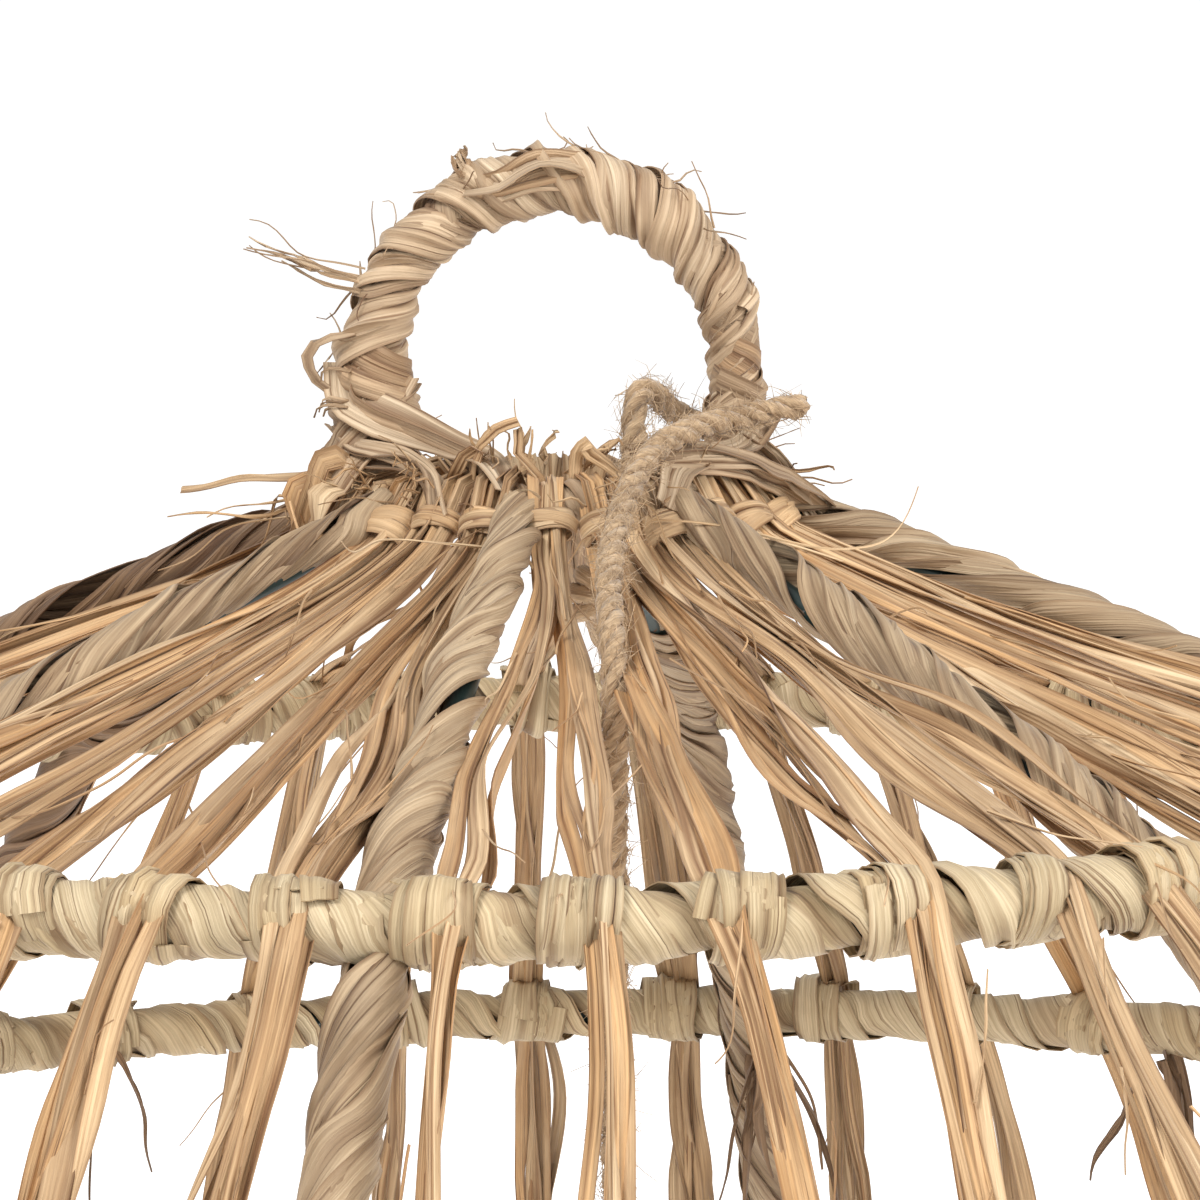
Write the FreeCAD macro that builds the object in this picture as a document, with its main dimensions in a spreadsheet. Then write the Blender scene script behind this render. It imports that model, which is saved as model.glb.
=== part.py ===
import FreeCAD, Part
import Sketcher
import math
import os

# A hat-shaped openwork hanging shade. A frame of bare steel wire (a hanging ring, a collar,
# three hoops and eight spokes) is wrapped in palm leaf, and folded leaf strands run from the
# collar over the hoops to the rim. Jute twine hangs through the collar. The shade stands on
# its rim: the origin is under the middle of the shade, on the surface that it stands on.
# Millimetres and degrees, +Z up. Azimuth 0 is the front, towards -Y, and it grows towards +X.

SIZES = [
    ("wire_diameter", 4.0),
    ("weld_gap", 0.2),
    ("collar_radius", 30.0),
    ("collar_wrap_diameter", 7.0),
    ("ring_rise", 22.0),
    ("ring_wrap_diameter", 10.3),
    ("lashing_wall", 1.8),
    ("lashing_height", 10.0),
    ("hoop_1_radius", 160.0),
    ("hoop_1_drop", 50.0),
    ("hoop_2_radius", 228.0),
    ("hoop_2_drop", 122.0),
    ("rim_radius", 284.0),
    ("rim_drop", 200.0),
    ("hoop_wrap_diameter", 10.5),
    ("spoke_wrap_diameter", 8.0),
    ("spoke_wrap_start", 14.0),
    ("spoke_turn", -9.4),
    ("turn_wall", 2.2),
    ("turn_width", 5.5),
    ("fold_wall", 2.6),
    ("fold_angle", 7.2),
    ("strand_width", 4.2),
    ("strand_thickness", 3.0),
    ("strand_gap", 0.4),
    ("twine_diameter", 4.3),
    ("splice_knot_diameter", 10.0),
    ("twine_knot_diameter", 11.0),
]
SPOKES = 8
PAIRS_PER_BAY = 3
PAIRS = SPOKES * PAIRS_PER_BAY

# Way out from a hoop's wire to the strand that passes over it, as parts of a unit length.
OUT_ACROSS = 0.64
OUT_UP = 0.77

doc = FreeCAD.newDocument("hanging_shade")
sheet = doc.addObject("Spreadsheet::Sheet", "Sizes")
for row, (alias, size) in enumerate(SIZES, start=1):
    sheet.set(f"A{row}", alias)
    sheet.set(f"B{row}", str(size))
    sheet.setAlias(f"B{row}", alias)
doc.recompute()

# Formulas that several pieces share.
COLLAR_Z = "(Sizes.rim_drop + Sizes.hoop_wrap_diameter / 2 + Sizes.turn_wall)"
WIRE = "(Sizes.wire_diameter / 2)"
HOOPS = {
    "hoop_1": ("Sizes.hoop_1_radius", f"({COLLAR_Z} - Sizes.hoop_1_drop)"),
    "hoop_2": ("Sizes.hoop_2_radius", f"({COLLAR_Z} - Sizes.hoop_2_drop)"),
    "rim": ("Sizes.rim_radius", f"({COLLAR_Z} - Sizes.rim_drop)"),
}
STRAND_STEP = 360 / (2 * PAIRS)


def number(formula):
    """Value of a formula over the sheet, as a plain number."""
    return float(sheet.evalExpression(formula))


def add(kind, name, formulas, axis=None):
    """New object with its properties bound to formulas; axis is what it turns about."""
    piece = doc.addObject(kind, name)
    if axis:
        piece.Placement = FreeCAD.Placement(FreeCAD.Vector(), FreeCAD.Rotation(FreeCAD.Vector(*axis), 1))
    for target, formula in formulas.items():
        piece.setExpression(target, formula)
    return piece


def group(kind, name, pieces):
    """Fusion or compound of several objects."""
    whole = doc.addObject(kind, name)
    if kind == "Part::MultiFuse":
        whole.Shapes = pieces
    else:
        whole.Links = pieces
    return whole


def cut(name, base, tool):
    """What is left of base outside tool."""
    left = doc.addObject("Part::Cut", name)
    left.Base = base
    left.Tool = tool
    return left


def torus(name, ring_radius, tube_radius, height):
    """Ring lying flat, centred on the Z axis."""
    formulas = {"Radius1": ring_radius, "Radius2": tube_radius, "Placement.Base.z": height}
    return add("Part::Torus", name, formulas)


def sphere(name, radius, place):
    """Ball at a place (across, up) of the XZ plane."""
    across, up = place
    return add("Part::Sphere", name, {"Radius": radius, "Placement.Base.x": across, "Placement.Base.z": up})


def rod(name, radius, start, end, skip="0"):
    """Round rod in the XZ plane between two places, starting skip past the first."""
    run = f"({end[0]} - {start[0]})"
    rise = f"({end[1]} - {start[1]})"
    length = f"hypot({run}; {rise})"
    formulas = {
        "Radius": radius,
        "Height": f"{length} - {skip}",
        "Placement.Base.x": f"{start[0]} + {skip} * {run} / {length}",
        "Placement.Base.z": f"{start[1]} + {skip} * {rise} / {length}",
        "Placement.Rotation.Angle": f"atan2({run}; {rise})",
    }
    return add("Part::Cylinder", name, formulas, axis=(0, 1, 0))


def turn_about_z(piece, formula):
    """Turns a piece modelled in the XZ plane to an azimuth."""
    piece.Placement = FreeCAD.Placement(FreeCAD.Vector(), FreeCAD.Rotation(FreeCAD.Vector(0, 0, 1), 1))
    piece.setExpression("Placement.Rotation.Angle", f"{formula} - 90")


def label(piece, name):
    """Names a finished sub-part; the name is its file's too."""
    piece.Label = name
    finished.append(piece)


finished = []

# Steel frame: collar and hoops.
collar_wire = torus("CollarWire", "Sizes.collar_radius", WIRE, COLLAR_Z)
label(collar_wire, "collar_wire")
hoop_wires = {}
for hoop, (radius, height) in HOOPS.items():
    hoop_wires[hoop] = torus(f"Wire_{hoop}", radius, WIRE, height)
    label(hoop_wires[hoop], f"{hoop}_wire")

# Steel frame: spokes. Each is welded to the outside of the collar wire and the inside of the hoops.
COLLAR_PLACE = ("Sizes.collar_radius", COLLAR_Z)
INSIDE = "(Sizes.wire_diameter + 2 * Sizes.weld_gap)"
SPOKE_PLACES = [COLLAR_PLACE]
for radius, height in HOOPS.values():
    SPOKE_PLACES.append((f"({radius} - {OUT_ACROSS} * {INSIDE})", f"({height} - {OUT_UP} * {INSIDE})"))


def spoke_rods(name, radius, skip):
    """Three rods of one spoke, in the XZ plane."""
    rods = []
    for span in range(3):
        start_skip = skip if span == 0 else "0"
        rods.append(rod(f"{name}_{span}", radius, SPOKE_PLACES[span], SPOKE_PLACES[span + 1], start_skip))
    return rods


spoke_wires = []
for spoke in range(SPOKES):
    azimuth = f"Sizes.spoke_turn + {spoke} * {360 / SPOKES}"
    pieces = spoke_rods(f"SpokeRod{spoke}", WIRE, f"({WIRE} + Sizes.weld_gap)")
    pieces += [sphere(f"SpokeBend{spoke}_{bend}", WIRE, SPOKE_PLACES[bend]) for bend in (1, 2)]
    wire = group("Part::MultiFuse", f"SpokeWire{spoke}", pieces)
    turn_about_z(wire, azimuth)
    label(wire, f"spoke_wire_{spoke + 1}")
    spoke_wires.append(wire)

# Hanging ring: an arch on two straight legs, welded to the top of the collar wire at both sides.
ARCH_Z = f"({COLLAR_Z} + Sizes.ring_rise)"
WIRE_FOOT_Z = f"({COLLAR_Z} + {WIRE} + Sizes.weld_gap)"
FOLD_RADIUS = "(Sizes.collar_wrap_diameter / 2 + Sizes.fold_wall)"
WRAP_FOOT_Z = f"({COLLAR_Z} + {FOLD_RADIUS} + Sizes.weld_gap)"


def arch(name, tube_radius, foot_height):
    """Arch with legs down to a height."""
    bow_sizes = {"Radius1": "Sizes.collar_radius", "Radius2": tube_radius, "Placement.Base.z": ARCH_Z}
    bow = add("Part::Torus", f"{name}Bow", bow_sizes, axis=(1, 0, 0))
    bow.Angle3 = 180
    bow.setExpression("Placement.Rotation.Angle", "90")
    legs = []
    for side, sign in (("Left", "-1"), ("Right", "1")):
        leg_sizes = {
            "Radius": tube_radius,
            "Height": f"{ARCH_Z} - {foot_height}",
            "Placement.Base.x": f"{sign} * Sizes.collar_radius",
            "Placement.Base.z": foot_height,
        }
        legs.append(add("Part::Cylinder", f"{name}{side}Leg", leg_sizes))
    return group("Part::MultiFuse", name, [bow] + legs)


ring_wire = arch("RingWire", WIRE, WIRE_FOOT_Z)
label(ring_wire, "hanging_ring_wire")

# Leaf wraps. Each is a closed sleeve round its wire, and every welded wire is let into it.
ring_wrap = cut("RingWrap", arch("RingSleeve", "Sizes.ring_wrap_diameter / 2", WRAP_FOOT_Z), ring_wire)
label(ring_wrap, "hanging_ring_wrap")

spoke_frame = group("Part::Compound", "SpokeFrame", spoke_wires)
collar_sleeve = torus("CollarSleeve", "Sizes.collar_radius", "Sizes.collar_wrap_diameter / 2", COLLAR_Z)
collar_frame = group("Part::Compound", "CollarFrame", [collar_wire, ring_wire] + spoke_wires)
label(cut("CollarWrap", collar_sleeve, collar_frame), "collar_wrap")

SPOKE_REACH = f"{INSIDE} + Sizes.spoke_wrap_diameter / 2"
TURN_REACH = "Sizes.hoop_wrap_diameter / 2 + Sizes.turn_wall"
turn_tubes = []
for hoop, (radius, height) in HOOPS.items():
    sleeve = torus(f"Sleeve_{hoop}", radius, "Sizes.hoop_wrap_diameter / 2", height)
    hollow = cut(f"Hollow_{hoop}", sleeve, hoop_wires[hoop])
    label(cut(f"Wrap_{hoop}", hollow, spoke_frame), f"{hoop}_wrap")
    clear_radius = f"max({SPOKE_REACH}; {TURN_REACH}) + Sizes.weld_gap"
    turn_tubes.append(torus(f"TurnTube_{hoop}", radius, clear_radius, height))
turn_space = group("Part::Compound", "TurnSpace", turn_tubes)

for spoke, wire in enumerate(spoke_wires):
    sleeves = spoke_rods(f"SpokeSleeve{spoke}", "Sizes.spoke_wrap_diameter / 2", "Sizes.spoke_wrap_start")
    sleeve = group("Part::Compound", f"SpokeSleeves{spoke}", sleeves)
    turn_about_z(sleeve, f"Sizes.spoke_turn + {spoke} * {360 / SPOKES}")
    hollow = cut(f"SpokeHollow{spoke}", sleeve, wire)
    label(cut(f"SpokeWrap{spoke}", hollow, turn_space), f"spoke_wrap_{spoke + 1}")

# Lashings round the ring's two feet, standing on the folded strands.
for side, sign in (("left", "-1"), ("right", "1")):
    outer_radius = "Sizes.ring_wrap_diameter / 2 + Sizes.lashing_wall"
    place = {
        "Height": "Sizes.lashing_height",
        "Placement.Base.x": f"{sign} * Sizes.collar_radius",
        "Placement.Base.z": WRAP_FOOT_Z,
    }
    outer = add("Part::Cylinder", f"LashingOuter_{side}", {"Radius": outer_radius, **place})
    inner = add("Part::Cylinder", f"LashingInner_{side}", {"Radius": "Sizes.ring_wrap_diameter / 2", **place})
    label(cut(f"Lashing_{side}", outer, inner), f"ring_foot_lashing_{side}")


def origin_feature(body, role):
    """Plane or axis of a body's origin, by its role."""
    return next(feature for feature in body.Origin.OriginFeatures if feature.Role == role)


def bind_constraint(sketch, kind, geometry, name, formula):
    """Adds a named size to a sketch and binds it to a formula."""
    index = sketch.addConstraint(Sketcher.Constraint(kind, *geometry, number(formula)))
    sketch.renameConstraint(index, name)
    sketch.setExpression(f"Constraints.{name}", formula)


def upright_sketch(body, name, turn="0"):
    """Sketch on a body's XZ plane, turned about the Z axis."""
    sketch = body.newObject("Sketcher::SketchObject", name)
    sketch.AttachmentSupport = [(origin_feature(body, "XZ_Plane"), "")]
    sketch.MapMode = "FlatFace"
    sketch.AttachmentOffset = FreeCAD.Placement(
        FreeCAD.Vector(), FreeCAD.Rotation(FreeCAD.Vector(0, 1, 0), number(turn))
    )
    return sketch


def ring_section(body, name, place, inner_radius, outer_radius):
    """Sketch of a ring section round a hoop's wire."""
    sketch = upright_sketch(body, name)
    centre = FreeCAD.Vector(number(place[0]), number(place[1]), 0)
    for index, (side, radius) in enumerate((("inner", inner_radius), ("outer", outer_radius))):
        sketch.addGeometry(Part.Circle(centre, FreeCAD.Vector(0, 0, 1), number(radius)))
        bind_constraint(sketch, "DistanceX", (-1, 1, index, 3), f"{side}_across", place[0])
        bind_constraint(sketch, "DistanceY", (-1, 1, index, 3), f"{side}_up", place[1])
        bind_constraint(sketch, "Radius", (index,), f"{side}_radius", radius)
    return sketch


def swing(body, name, sketch, angle):
    """Revolves a section about the Z axis, half of the angle to each side."""
    feature = body.newObject("PartDesign::Revolution", name)
    feature.Profile = sketch
    feature.ReferenceAxis = (origin_feature(body, "Z_Axis"), [""])
    feature.Midplane = True
    feature.setExpression("Angle", angle)
    return feature


LEG_WRAPS = ["(Sizes.collar_wrap_diameter / 2 + Sizes.weld_gap)"]
LEG_WRAPS += ["(Sizes.hoop_wrap_diameter / 2 + Sizes.strand_gap)"] * 3


def leg_outline(body, name, turn):
    """Sketch of a strand's leg from the collar over the hoops to the rim, seen side on."""
    sketch = upright_sketch(body, name, turn)
    places = []
    for (across, up), wrap in zip([COLLAR_PLACE] + list(HOOPS.values()), LEG_WRAPS):
        places.append((f"{across} + {OUT_ACROSS} * {wrap}", f"{up} + {OUT_UP} * {wrap}"))
    thick = "Sizes.strand_thickness"
    top = [(f"{across} + {OUT_ACROSS} * {thick}", f"{up} + {OUT_UP} * {thick}") for across, up in places]
    corners = places + top[::-1]
    points = [FreeCAD.Vector(number(across), number(up), 0) for across, up in corners]
    for index, point in enumerate(points):
        sketch.addGeometry(Part.LineSegment(point, points[(index + 1) % len(points)]))
    for index in range(len(points)):
        following = (index + 1) % len(points)
        sketch.addConstraint(Sketcher.Constraint("Coincident", index, 2, following, 1))
    for index, (across, up) in enumerate(corners):
        bind_constraint(sketch, "DistanceX", (-1, 1, index, 1), f"across_{index}", across)
        bind_constraint(sketch, "DistanceY", (-1, 1, index, 1), f"up_{index}", up)
    return sketch


# Strands. Each bundle of leaf is folded over the collar, and its two legs run to the rim.
for pair in range(PAIRS):
    body = doc.addObject("PartDesign::Body", f"Strand{pair}")
    collar_sleeve_radius = "Sizes.collar_wrap_diameter / 2"
    section = ring_section(body, f"FoldSection{pair}", COLLAR_PLACE, collar_sleeve_radius, FOLD_RADIUS)
    swing(body, f"Fold{pair}", section, "Sizes.fold_angle")
    for side, sign in (("A", 1), ("B", -1)):
        outline = leg_outline(body, f"Outline{pair}{side}", str(sign * STRAND_STEP / 2))
        leg = body.newObject("PartDesign::Pad", f"Leg{pair}{side}")
        leg.Profile = outline
        leg.SideType = "Symmetric"
        leg.setExpression("Length", "Sizes.strand_width")
        body.Tip = leg
    turn_about_z(body, f"Sizes.spoke_turn + {(2 * pair + 1) * STRAND_STEP}")
    label(cut(f"StrandPair{pair}", body, ring_wire), f"strand_pair_{pair + 1:02d}")

# Turns that tie each leg to each hoop, one beside every leg, round the hoop's wrap.
for hoop, (radius, height) in HOOPS.items():
    body = doc.addObject("PartDesign::Body", f"Turns_{hoop}")
    body.AllowCompound = True
    inner = "Sizes.hoop_wrap_diameter / 2"
    section = ring_section(body, f"TurnSection_{hoop}", (radius, height), inner, f"{inner} + Sizes.turn_wall")
    turn = swing(body, f"Turn_{hoop}", section, f"Sizes.turn_width / {radius} * 180 / pi")
    doc.recompute()
    pattern = body.newObject("PartDesign::PolarPattern", f"TurnPattern_{hoop}")
    pattern.Originals = [turn]
    pattern.Axis = (origin_feature(body, "Z_Axis"), [""])
    pattern.Angle = 360
    pattern.Occurrences = 2 * PAIRS
    body.Tip = pattern
    beside = f"(Sizes.strand_width / 2 + Sizes.strand_gap + Sizes.turn_width / 2) / {radius} * 180 / pi"
    turn_about_z(body, f"Sizes.spoke_turn + {STRAND_STEP / 2} + {beside}")
    label(body, f"{hoop}_turns")


def cord_path(points):
    """Straight runs joined by tangent arcs, as one wire, with the arcs' radii."""
    corners = [FreeCAD.Vector(*point) for point in points]
    edges = []
    radii = []
    start = corners[0]
    for before, corner, after in zip(corners, corners[1:], corners[2:]):
        back = (before - corner).normalize()
        ahead = (after - corner).normalize()
        turn = math.pi - back.getAngle(ahead)
        tangent = 0.45 * min(corner.distanceToPoint(before), corner.distanceToPoint(after))
        radius = tangent / math.tan(turn / 2)
        enter = corner + back * tangent
        leave = corner + ahead * tangent
        inwards = (back + ahead).normalize()
        middle = corner + inwards * (radius / math.cos(turn / 2) - radius)
        edges.append(Part.LineSegment(start, enter).toShape())
        edges.append(Part.Arc(enter, middle, leave).toShape())
        radii.append(radius)
        start = leave
    edges.append(Part.LineSegment(start, corners[-1]).toShape())
    return Part.Wire(edges), radii


def cord(name, points):
    """Round cord along a route of points, given from the middle of the collar's plane."""
    radius = float(sheet.twine_diameter) / 2
    path, radii = cord_path(points)
    edge = path.Edges[0]
    along = edge.valueAt(edge.LastParameter) - edge.valueAt(edge.FirstParameter)
    section = Part.Wire([Part.Circle(FreeCAD.Vector(*points[0]), along, radius).toShape()])
    piece = doc.addObject("Part::Feature", name)
    piece.Shape = path.makePipeShell([section], True, False)
    piece.Placement = FreeCAD.Placement(FreeCAD.Vector(0, 0, number(COLLAR_Z)), FreeCAD.Rotation())
    expected = math.pi * radius**2 * path.Length
    print(f"{name}: {path.Length:.1f} mm long, radii {[round(size, 1) for size in radii]},",
          f"volume {piece.Shape.Volume:.0f} of {expected:.0f}")
    label(piece, name)
    return piece


# Jute twine. It lies in front of the ring's right foot, passes over the front of the collar,
# dips between two strands and hangs inside the shade. A loop of it comes from behind the foot,
# folds over and goes down through the collar to a knot. The points are places of its middle
# line, measured from the middle of the collar.
TWINE = [
    (41.4, -12.5, 15.0),
    (31.0, -14.5, 13.5),
    (22.0, -24.5, 12.8),
    (14.5, -36.0, 10.6),
    (10.5, -50.0, 5.6),
    (8.6, -63.0, 0.8),
    (7.9, -76.0, -4.0),
    (8.4, -86.5, -10.5),
    (8.7, -89.5, -21.0),
    (8.4, -88.5, -36.0),
    (8.0, -87.6, -60.0),
    (7.5, -87.3, -95.0),
    (7.2, -87.6, -134.0),
]
LOOP = [
    (31.0, 10.0, 9.6),
    (24.2, 9.4, 10.6),
    (19.8, 4.0, 13.2),
    (17.2, -1.8, 16.0),
    (14.9, -6.0, 17.8),
    (13.1, -9.6, 15.6),
    (12.7, -11.0, 8.5),
    (12.5, -12.4, 0.5),
    (11.2, -14.2, -7.0),
    (7.8, -16.6, -13.0),
]
SPLICE = (6.0, -17.2, -15.5)
twine = cord("twine", TWINE)
loop = cord("twine_loop", LOOP)
cords = group("Part::Compound", "Cords", [twine, loop])
for name, size, place in (
    ("twine_splice_knot", "Sizes.splice_knot_diameter", SPLICE),
    ("twine_end_knot", "Sizes.twine_knot_diameter", TWINE[-1]),
):
    across, back, up = place
    ball_sizes = {
        "Radius": f"{size} / 2",
        "Placement.Base.x": str(across),
        "Placement.Base.y": str(back),
        "Placement.Base.z": f"{COLLAR_Z} + {up}",
    }
    label(cut(f"Knot_{name}", add("Part::Sphere", f"Ball_{name}", ball_sizes), cords), name)

doc.recompute()
for piece in doc.Objects:
    if "Invalid" in piece.State or "Error" in piece.State:
        raise RuntimeError(f"{piece.Name} did not build: {piece.State}")
for piece in finished:
    if piece.Shape.isNull() or not piece.Shape.isValid():
        raise RuntimeError(f"{piece.Label} has no valid shape")

os.makedirs("parts", exist_ok=True)
for piece in finished:
    piece.Shape.exportStep(f"parts/{piece.Label}.step")
box = Part.makeCompound([piece.Shape for piece in finished]).BoundBox
print(f"{len(finished)} sub-parts, {box.XLength:.1f} x {box.YLength:.1f} x {box.ZLength:.1f} mm")
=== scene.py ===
import logging
import math
from dataclasses import dataclass, field
from enum import Enum

import bpy
import numpy as np
from mathutils import Matrix, Vector


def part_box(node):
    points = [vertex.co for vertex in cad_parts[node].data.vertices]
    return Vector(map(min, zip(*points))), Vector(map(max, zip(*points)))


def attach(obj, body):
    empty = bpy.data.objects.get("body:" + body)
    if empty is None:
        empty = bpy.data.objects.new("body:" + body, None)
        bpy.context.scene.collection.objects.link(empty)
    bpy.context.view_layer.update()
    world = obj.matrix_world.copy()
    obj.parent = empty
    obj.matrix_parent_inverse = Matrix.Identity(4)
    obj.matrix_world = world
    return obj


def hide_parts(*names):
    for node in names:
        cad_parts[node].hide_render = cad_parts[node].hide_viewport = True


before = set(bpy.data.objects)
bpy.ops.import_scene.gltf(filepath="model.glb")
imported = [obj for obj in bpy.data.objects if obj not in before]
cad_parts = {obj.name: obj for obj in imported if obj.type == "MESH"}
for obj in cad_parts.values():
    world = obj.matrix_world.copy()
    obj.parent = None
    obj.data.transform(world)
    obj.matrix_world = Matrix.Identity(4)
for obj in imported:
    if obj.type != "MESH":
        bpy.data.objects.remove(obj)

logging.basicConfig(level=logging.INFO, format="%(message)s")
log = logging.getLogger("hanging_shade")

MM = 0.001
TURN = 2 * math.pi
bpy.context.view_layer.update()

# How the steel frame is laid out: lengths in millimetres, azimuths from the front towards the right.
WIRE_RADIUS = 2.0
SPOKE_TURN = math.radians(-9.4)
SPOKE_COUNT = sum(name.startswith("spoke_wire_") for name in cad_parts)
PAIR_COUNT = sum(name.startswith("strand_pair_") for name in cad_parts)
LEG_STEP = TURN / (2 * PAIR_COUNT)

# Where the grain starts on each strip, by chance within these lengths, so that no two strips look alike.
GRAIN_SHIFT_ALONG = 900
GRAIN_SHIFT_ACROSS = 90
SMOOTH_BELOW = math.radians(50)
FRONT_UP = (0.0, -0.75, 0.65)

# Direction out of the shade between the collar and the first hoop: away from the axis, and up.
OUT_ACROSS = 0.36
OUT_UP = 0.93


class Wind(Enum):
    """Which way a leaf is wound round its tube."""

    RIGHT = 1
    LEFT = -1


def wander(rng: np.random.Generator, count: int, knots: int, size: float) -> np.ndarray:
    """Makes a smooth random curve.

    Args:
        rng: seeded source of random numbers.
        count: samples wanted.
        knots: stretches between random values.
        size: spread of the values.

    Returns:
        The samples, one for each place along the curve.
    """
    values = rng.normal(0, size, knots + 2)
    place = np.linspace(0, knots, count)
    low = np.minimum(place.astype(int), knots)
    blend = place - low
    blend = blend * blend * (3 - 2 * blend)
    return values[low] * (1 - blend) + values[low + 1] * blend


def wrapped(angle: np.ndarray) -> np.ndarray:
    """Brings angles to between minus half a turn and half a turn.

    Args:
        angle: angles in radians.

    Returns:
        The same directions, each as its smallest angle.
    """
    return (angle + math.pi) % TURN - math.pi


def unit(vectors: np.ndarray) -> np.ndarray:
    """Scales each row to a length of one.

    Args:
        vectors: one vector, or rows of them.

    Returns:
        Vectors of the same directions.
    """
    return vectors / np.maximum(np.linalg.norm(vectors, axis=-1, keepdims=True), 1e-9)


def pleats(
    rng: np.random.Generator, rows: int, columns: int, depth: float, folds: int = 6
) -> tuple[np.ndarray, np.ndarray]:
    """Makes the lengthwise folds of a dry leaf strip.

    Args:
        rng: seeded source of random numbers.
        rows: points along the strip.
        columns: points across the strip.
        depth: usual height of a fold.
        folds: how many there are.

    Returns:
        The rise at each point, and how deep it lies in a crease from 0 to 1.
    """
    column = np.linspace(-0.5, 0.5, columns)
    knots = max(3, rows // 9)
    rise = np.zeros((rows, columns))
    for _ in range(folds):
        line = rng.uniform(-0.47, 0.47) + wander(rng, rows, knots, 0.05)
        reach = rng.uniform(0.07, 0.17)
        height = depth * rng.uniform(0.4, 1.25) * rng.choice([-1, 1])
        height = height * (0.55 + np.abs(wander(rng, rows, knots, 0.7)))
        ridge = np.maximum(0, 1 - np.abs(column[None, :] - line[:, None]) / reach)
        rise = rise + height[:, None] * ridge
    return rise, np.clip(-rise / max(depth, 1e-6), 0, 1)


def hoop_size(node: str) -> tuple[float, float]:
    """Reads a level wire hoop from the frame.

    Args:
        node: name of the hoop's wire.

    Returns:
        Radius of its middle line and its height, in millimetres.
    """
    low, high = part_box(node)
    return (high.x - low.x) / 2 / MM - WIRE_RADIUS, (high.z + low.z) / 2 / MM


@dataclass
class Route:
    """A line in space with a direction across it, in millimetres.

    Its frame at each place is the way along, the way across, and the way out from both.
    """

    points: np.ndarray
    across: np.ndarray
    closed: bool = False

    def __post_init__(self) -> None:
        """Works out the lengths and directions along the line."""
        steps = np.linalg.norm(np.diff(self.points, axis=0), axis=1)
        self.places = np.concatenate([[0.0], np.cumsum(steps)])
        self.length = float(self.places[-1])
        self.along = unit(np.gradient(self.points, axis=0))
        if self.closed:
            self.along[0] = self.along[-1] = unit(self.points[1] - self.points[-2])
        self.out = unit(np.cross(self.across, self.along))

    def at(self, place: np.ndarray) -> tuple[np.ndarray, np.ndarray, np.ndarray]:
        """Finds the line's frame at places along it.

        Args:
            place: distances along the line.

        Returns:
            The point, the way across and the way out at each place.
        """
        place = np.mod(place, self.length) if self.closed else np.clip(place, 0, self.length)
        found = []
        for values in (self.points, self.across, self.out):
            found.append(np.stack([np.interp(place, self.places, values[:, k]) for k in range(3)], -1))
        return found[0], unit(found[1]), unit(found[2])

    def on_tube(self, place: np.ndarray, angle: np.ndarray, radius: np.ndarray) -> np.ndarray:
        """Finds points on a tube round the line.

        Args:
            place: distances along the line.
            angle: turn from the way out towards the way across, in radians.
            radius: distance from the line.

        Returns:
            The points.
        """
        point, across, out = self.at(place)
        aside = np.cos(angle)[..., None] * out + np.sin(angle)[..., None] * across
        return point + radius[..., None] * aside


def circle_route(radius: float, height: float) -> Route:
    """Makes a level circle that starts at the front and goes round by the right.

    Args:
        radius: of the circle, in millimetres.
        height: of the circle, in millimetres.

    Returns:
        The circle, as a closed line.
    """
    angle = np.linspace(0, TURN, 361)
    points = np.stack([radius * np.sin(angle), -radius * np.cos(angle), np.full_like(angle, height)], -1)
    across = np.tile([0.0, 0.0, 1.0], (len(angle), 1))
    return Route(points, -across, closed=True)


def radial_route(stations: list[tuple[float, float]], azimuths: np.ndarray, step: float = 2.5) -> Route:
    """Makes a line down the shade from places (distance from the axis, height).

    Args:
        stations: the places, joined by straight runs.
        azimuths: azimuth of each place, in radians.
        step: spacing of the line's points.

    Returns:
        The line, whose way out points up and away from the shade.
    """
    flat = np.array(stations, float)
    lengths = np.concatenate([[0.0], np.cumsum(np.linalg.norm(np.diff(flat, axis=0), axis=1))])
    count = max(4, int(lengths[-1] / step))
    place = np.linspace(0, lengths[-1], count)
    distance = np.interp(place, lengths, flat[:, 0])
    height = np.interp(place, lengths, flat[:, 1])
    azimuth = np.interp(place, lengths, azimuths)
    kernel = np.array([1, 2, 3, 2, 1]) / 9
    for values in (distance, height, azimuth):
        values[2:-2] = np.convolve(values, kernel, "valid")
    points = np.stack([distance * np.sin(azimuth), -distance * np.cos(azimuth), height], -1)
    across = np.stack([np.cos(azimuth), np.sin(azimuth), np.zeros_like(azimuth)], -1)
    route = Route(points, across)
    route.out = -route.out
    return route


def free_route(
    places: list[tuple[float, float, float]],
    facing: tuple[float, float, float],
    points_a_place: int = 14,
    smoothings: int = 14,
) -> Route:
    """Makes a smooth line through places in space.

    Args:
        places: the places that it passes near.
        facing: direction that its way out points in.
        points_a_place: how many points of the line there are for each place.
        smoothings: how often each point is moved towards its neighbours.

    Returns:
        The line.
    """
    corners = np.array(places, float)
    share = np.linspace(0, len(places) - 1, points_a_place * len(places))
    line = np.stack([np.interp(share, np.arange(len(places)), corners[:, k]) for k in range(3)], -1)
    for _ in range(smoothings):
        line[1:-1] = (line[:-2] + 2 * line[1:-1] + line[2:]) / 4
    along = unit(np.gradient(line, axis=0))
    across = unit(np.cross(along, np.array(facing, float)))
    route = Route(line, across)
    route.out = np.cross(across, along)
    return route


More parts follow.
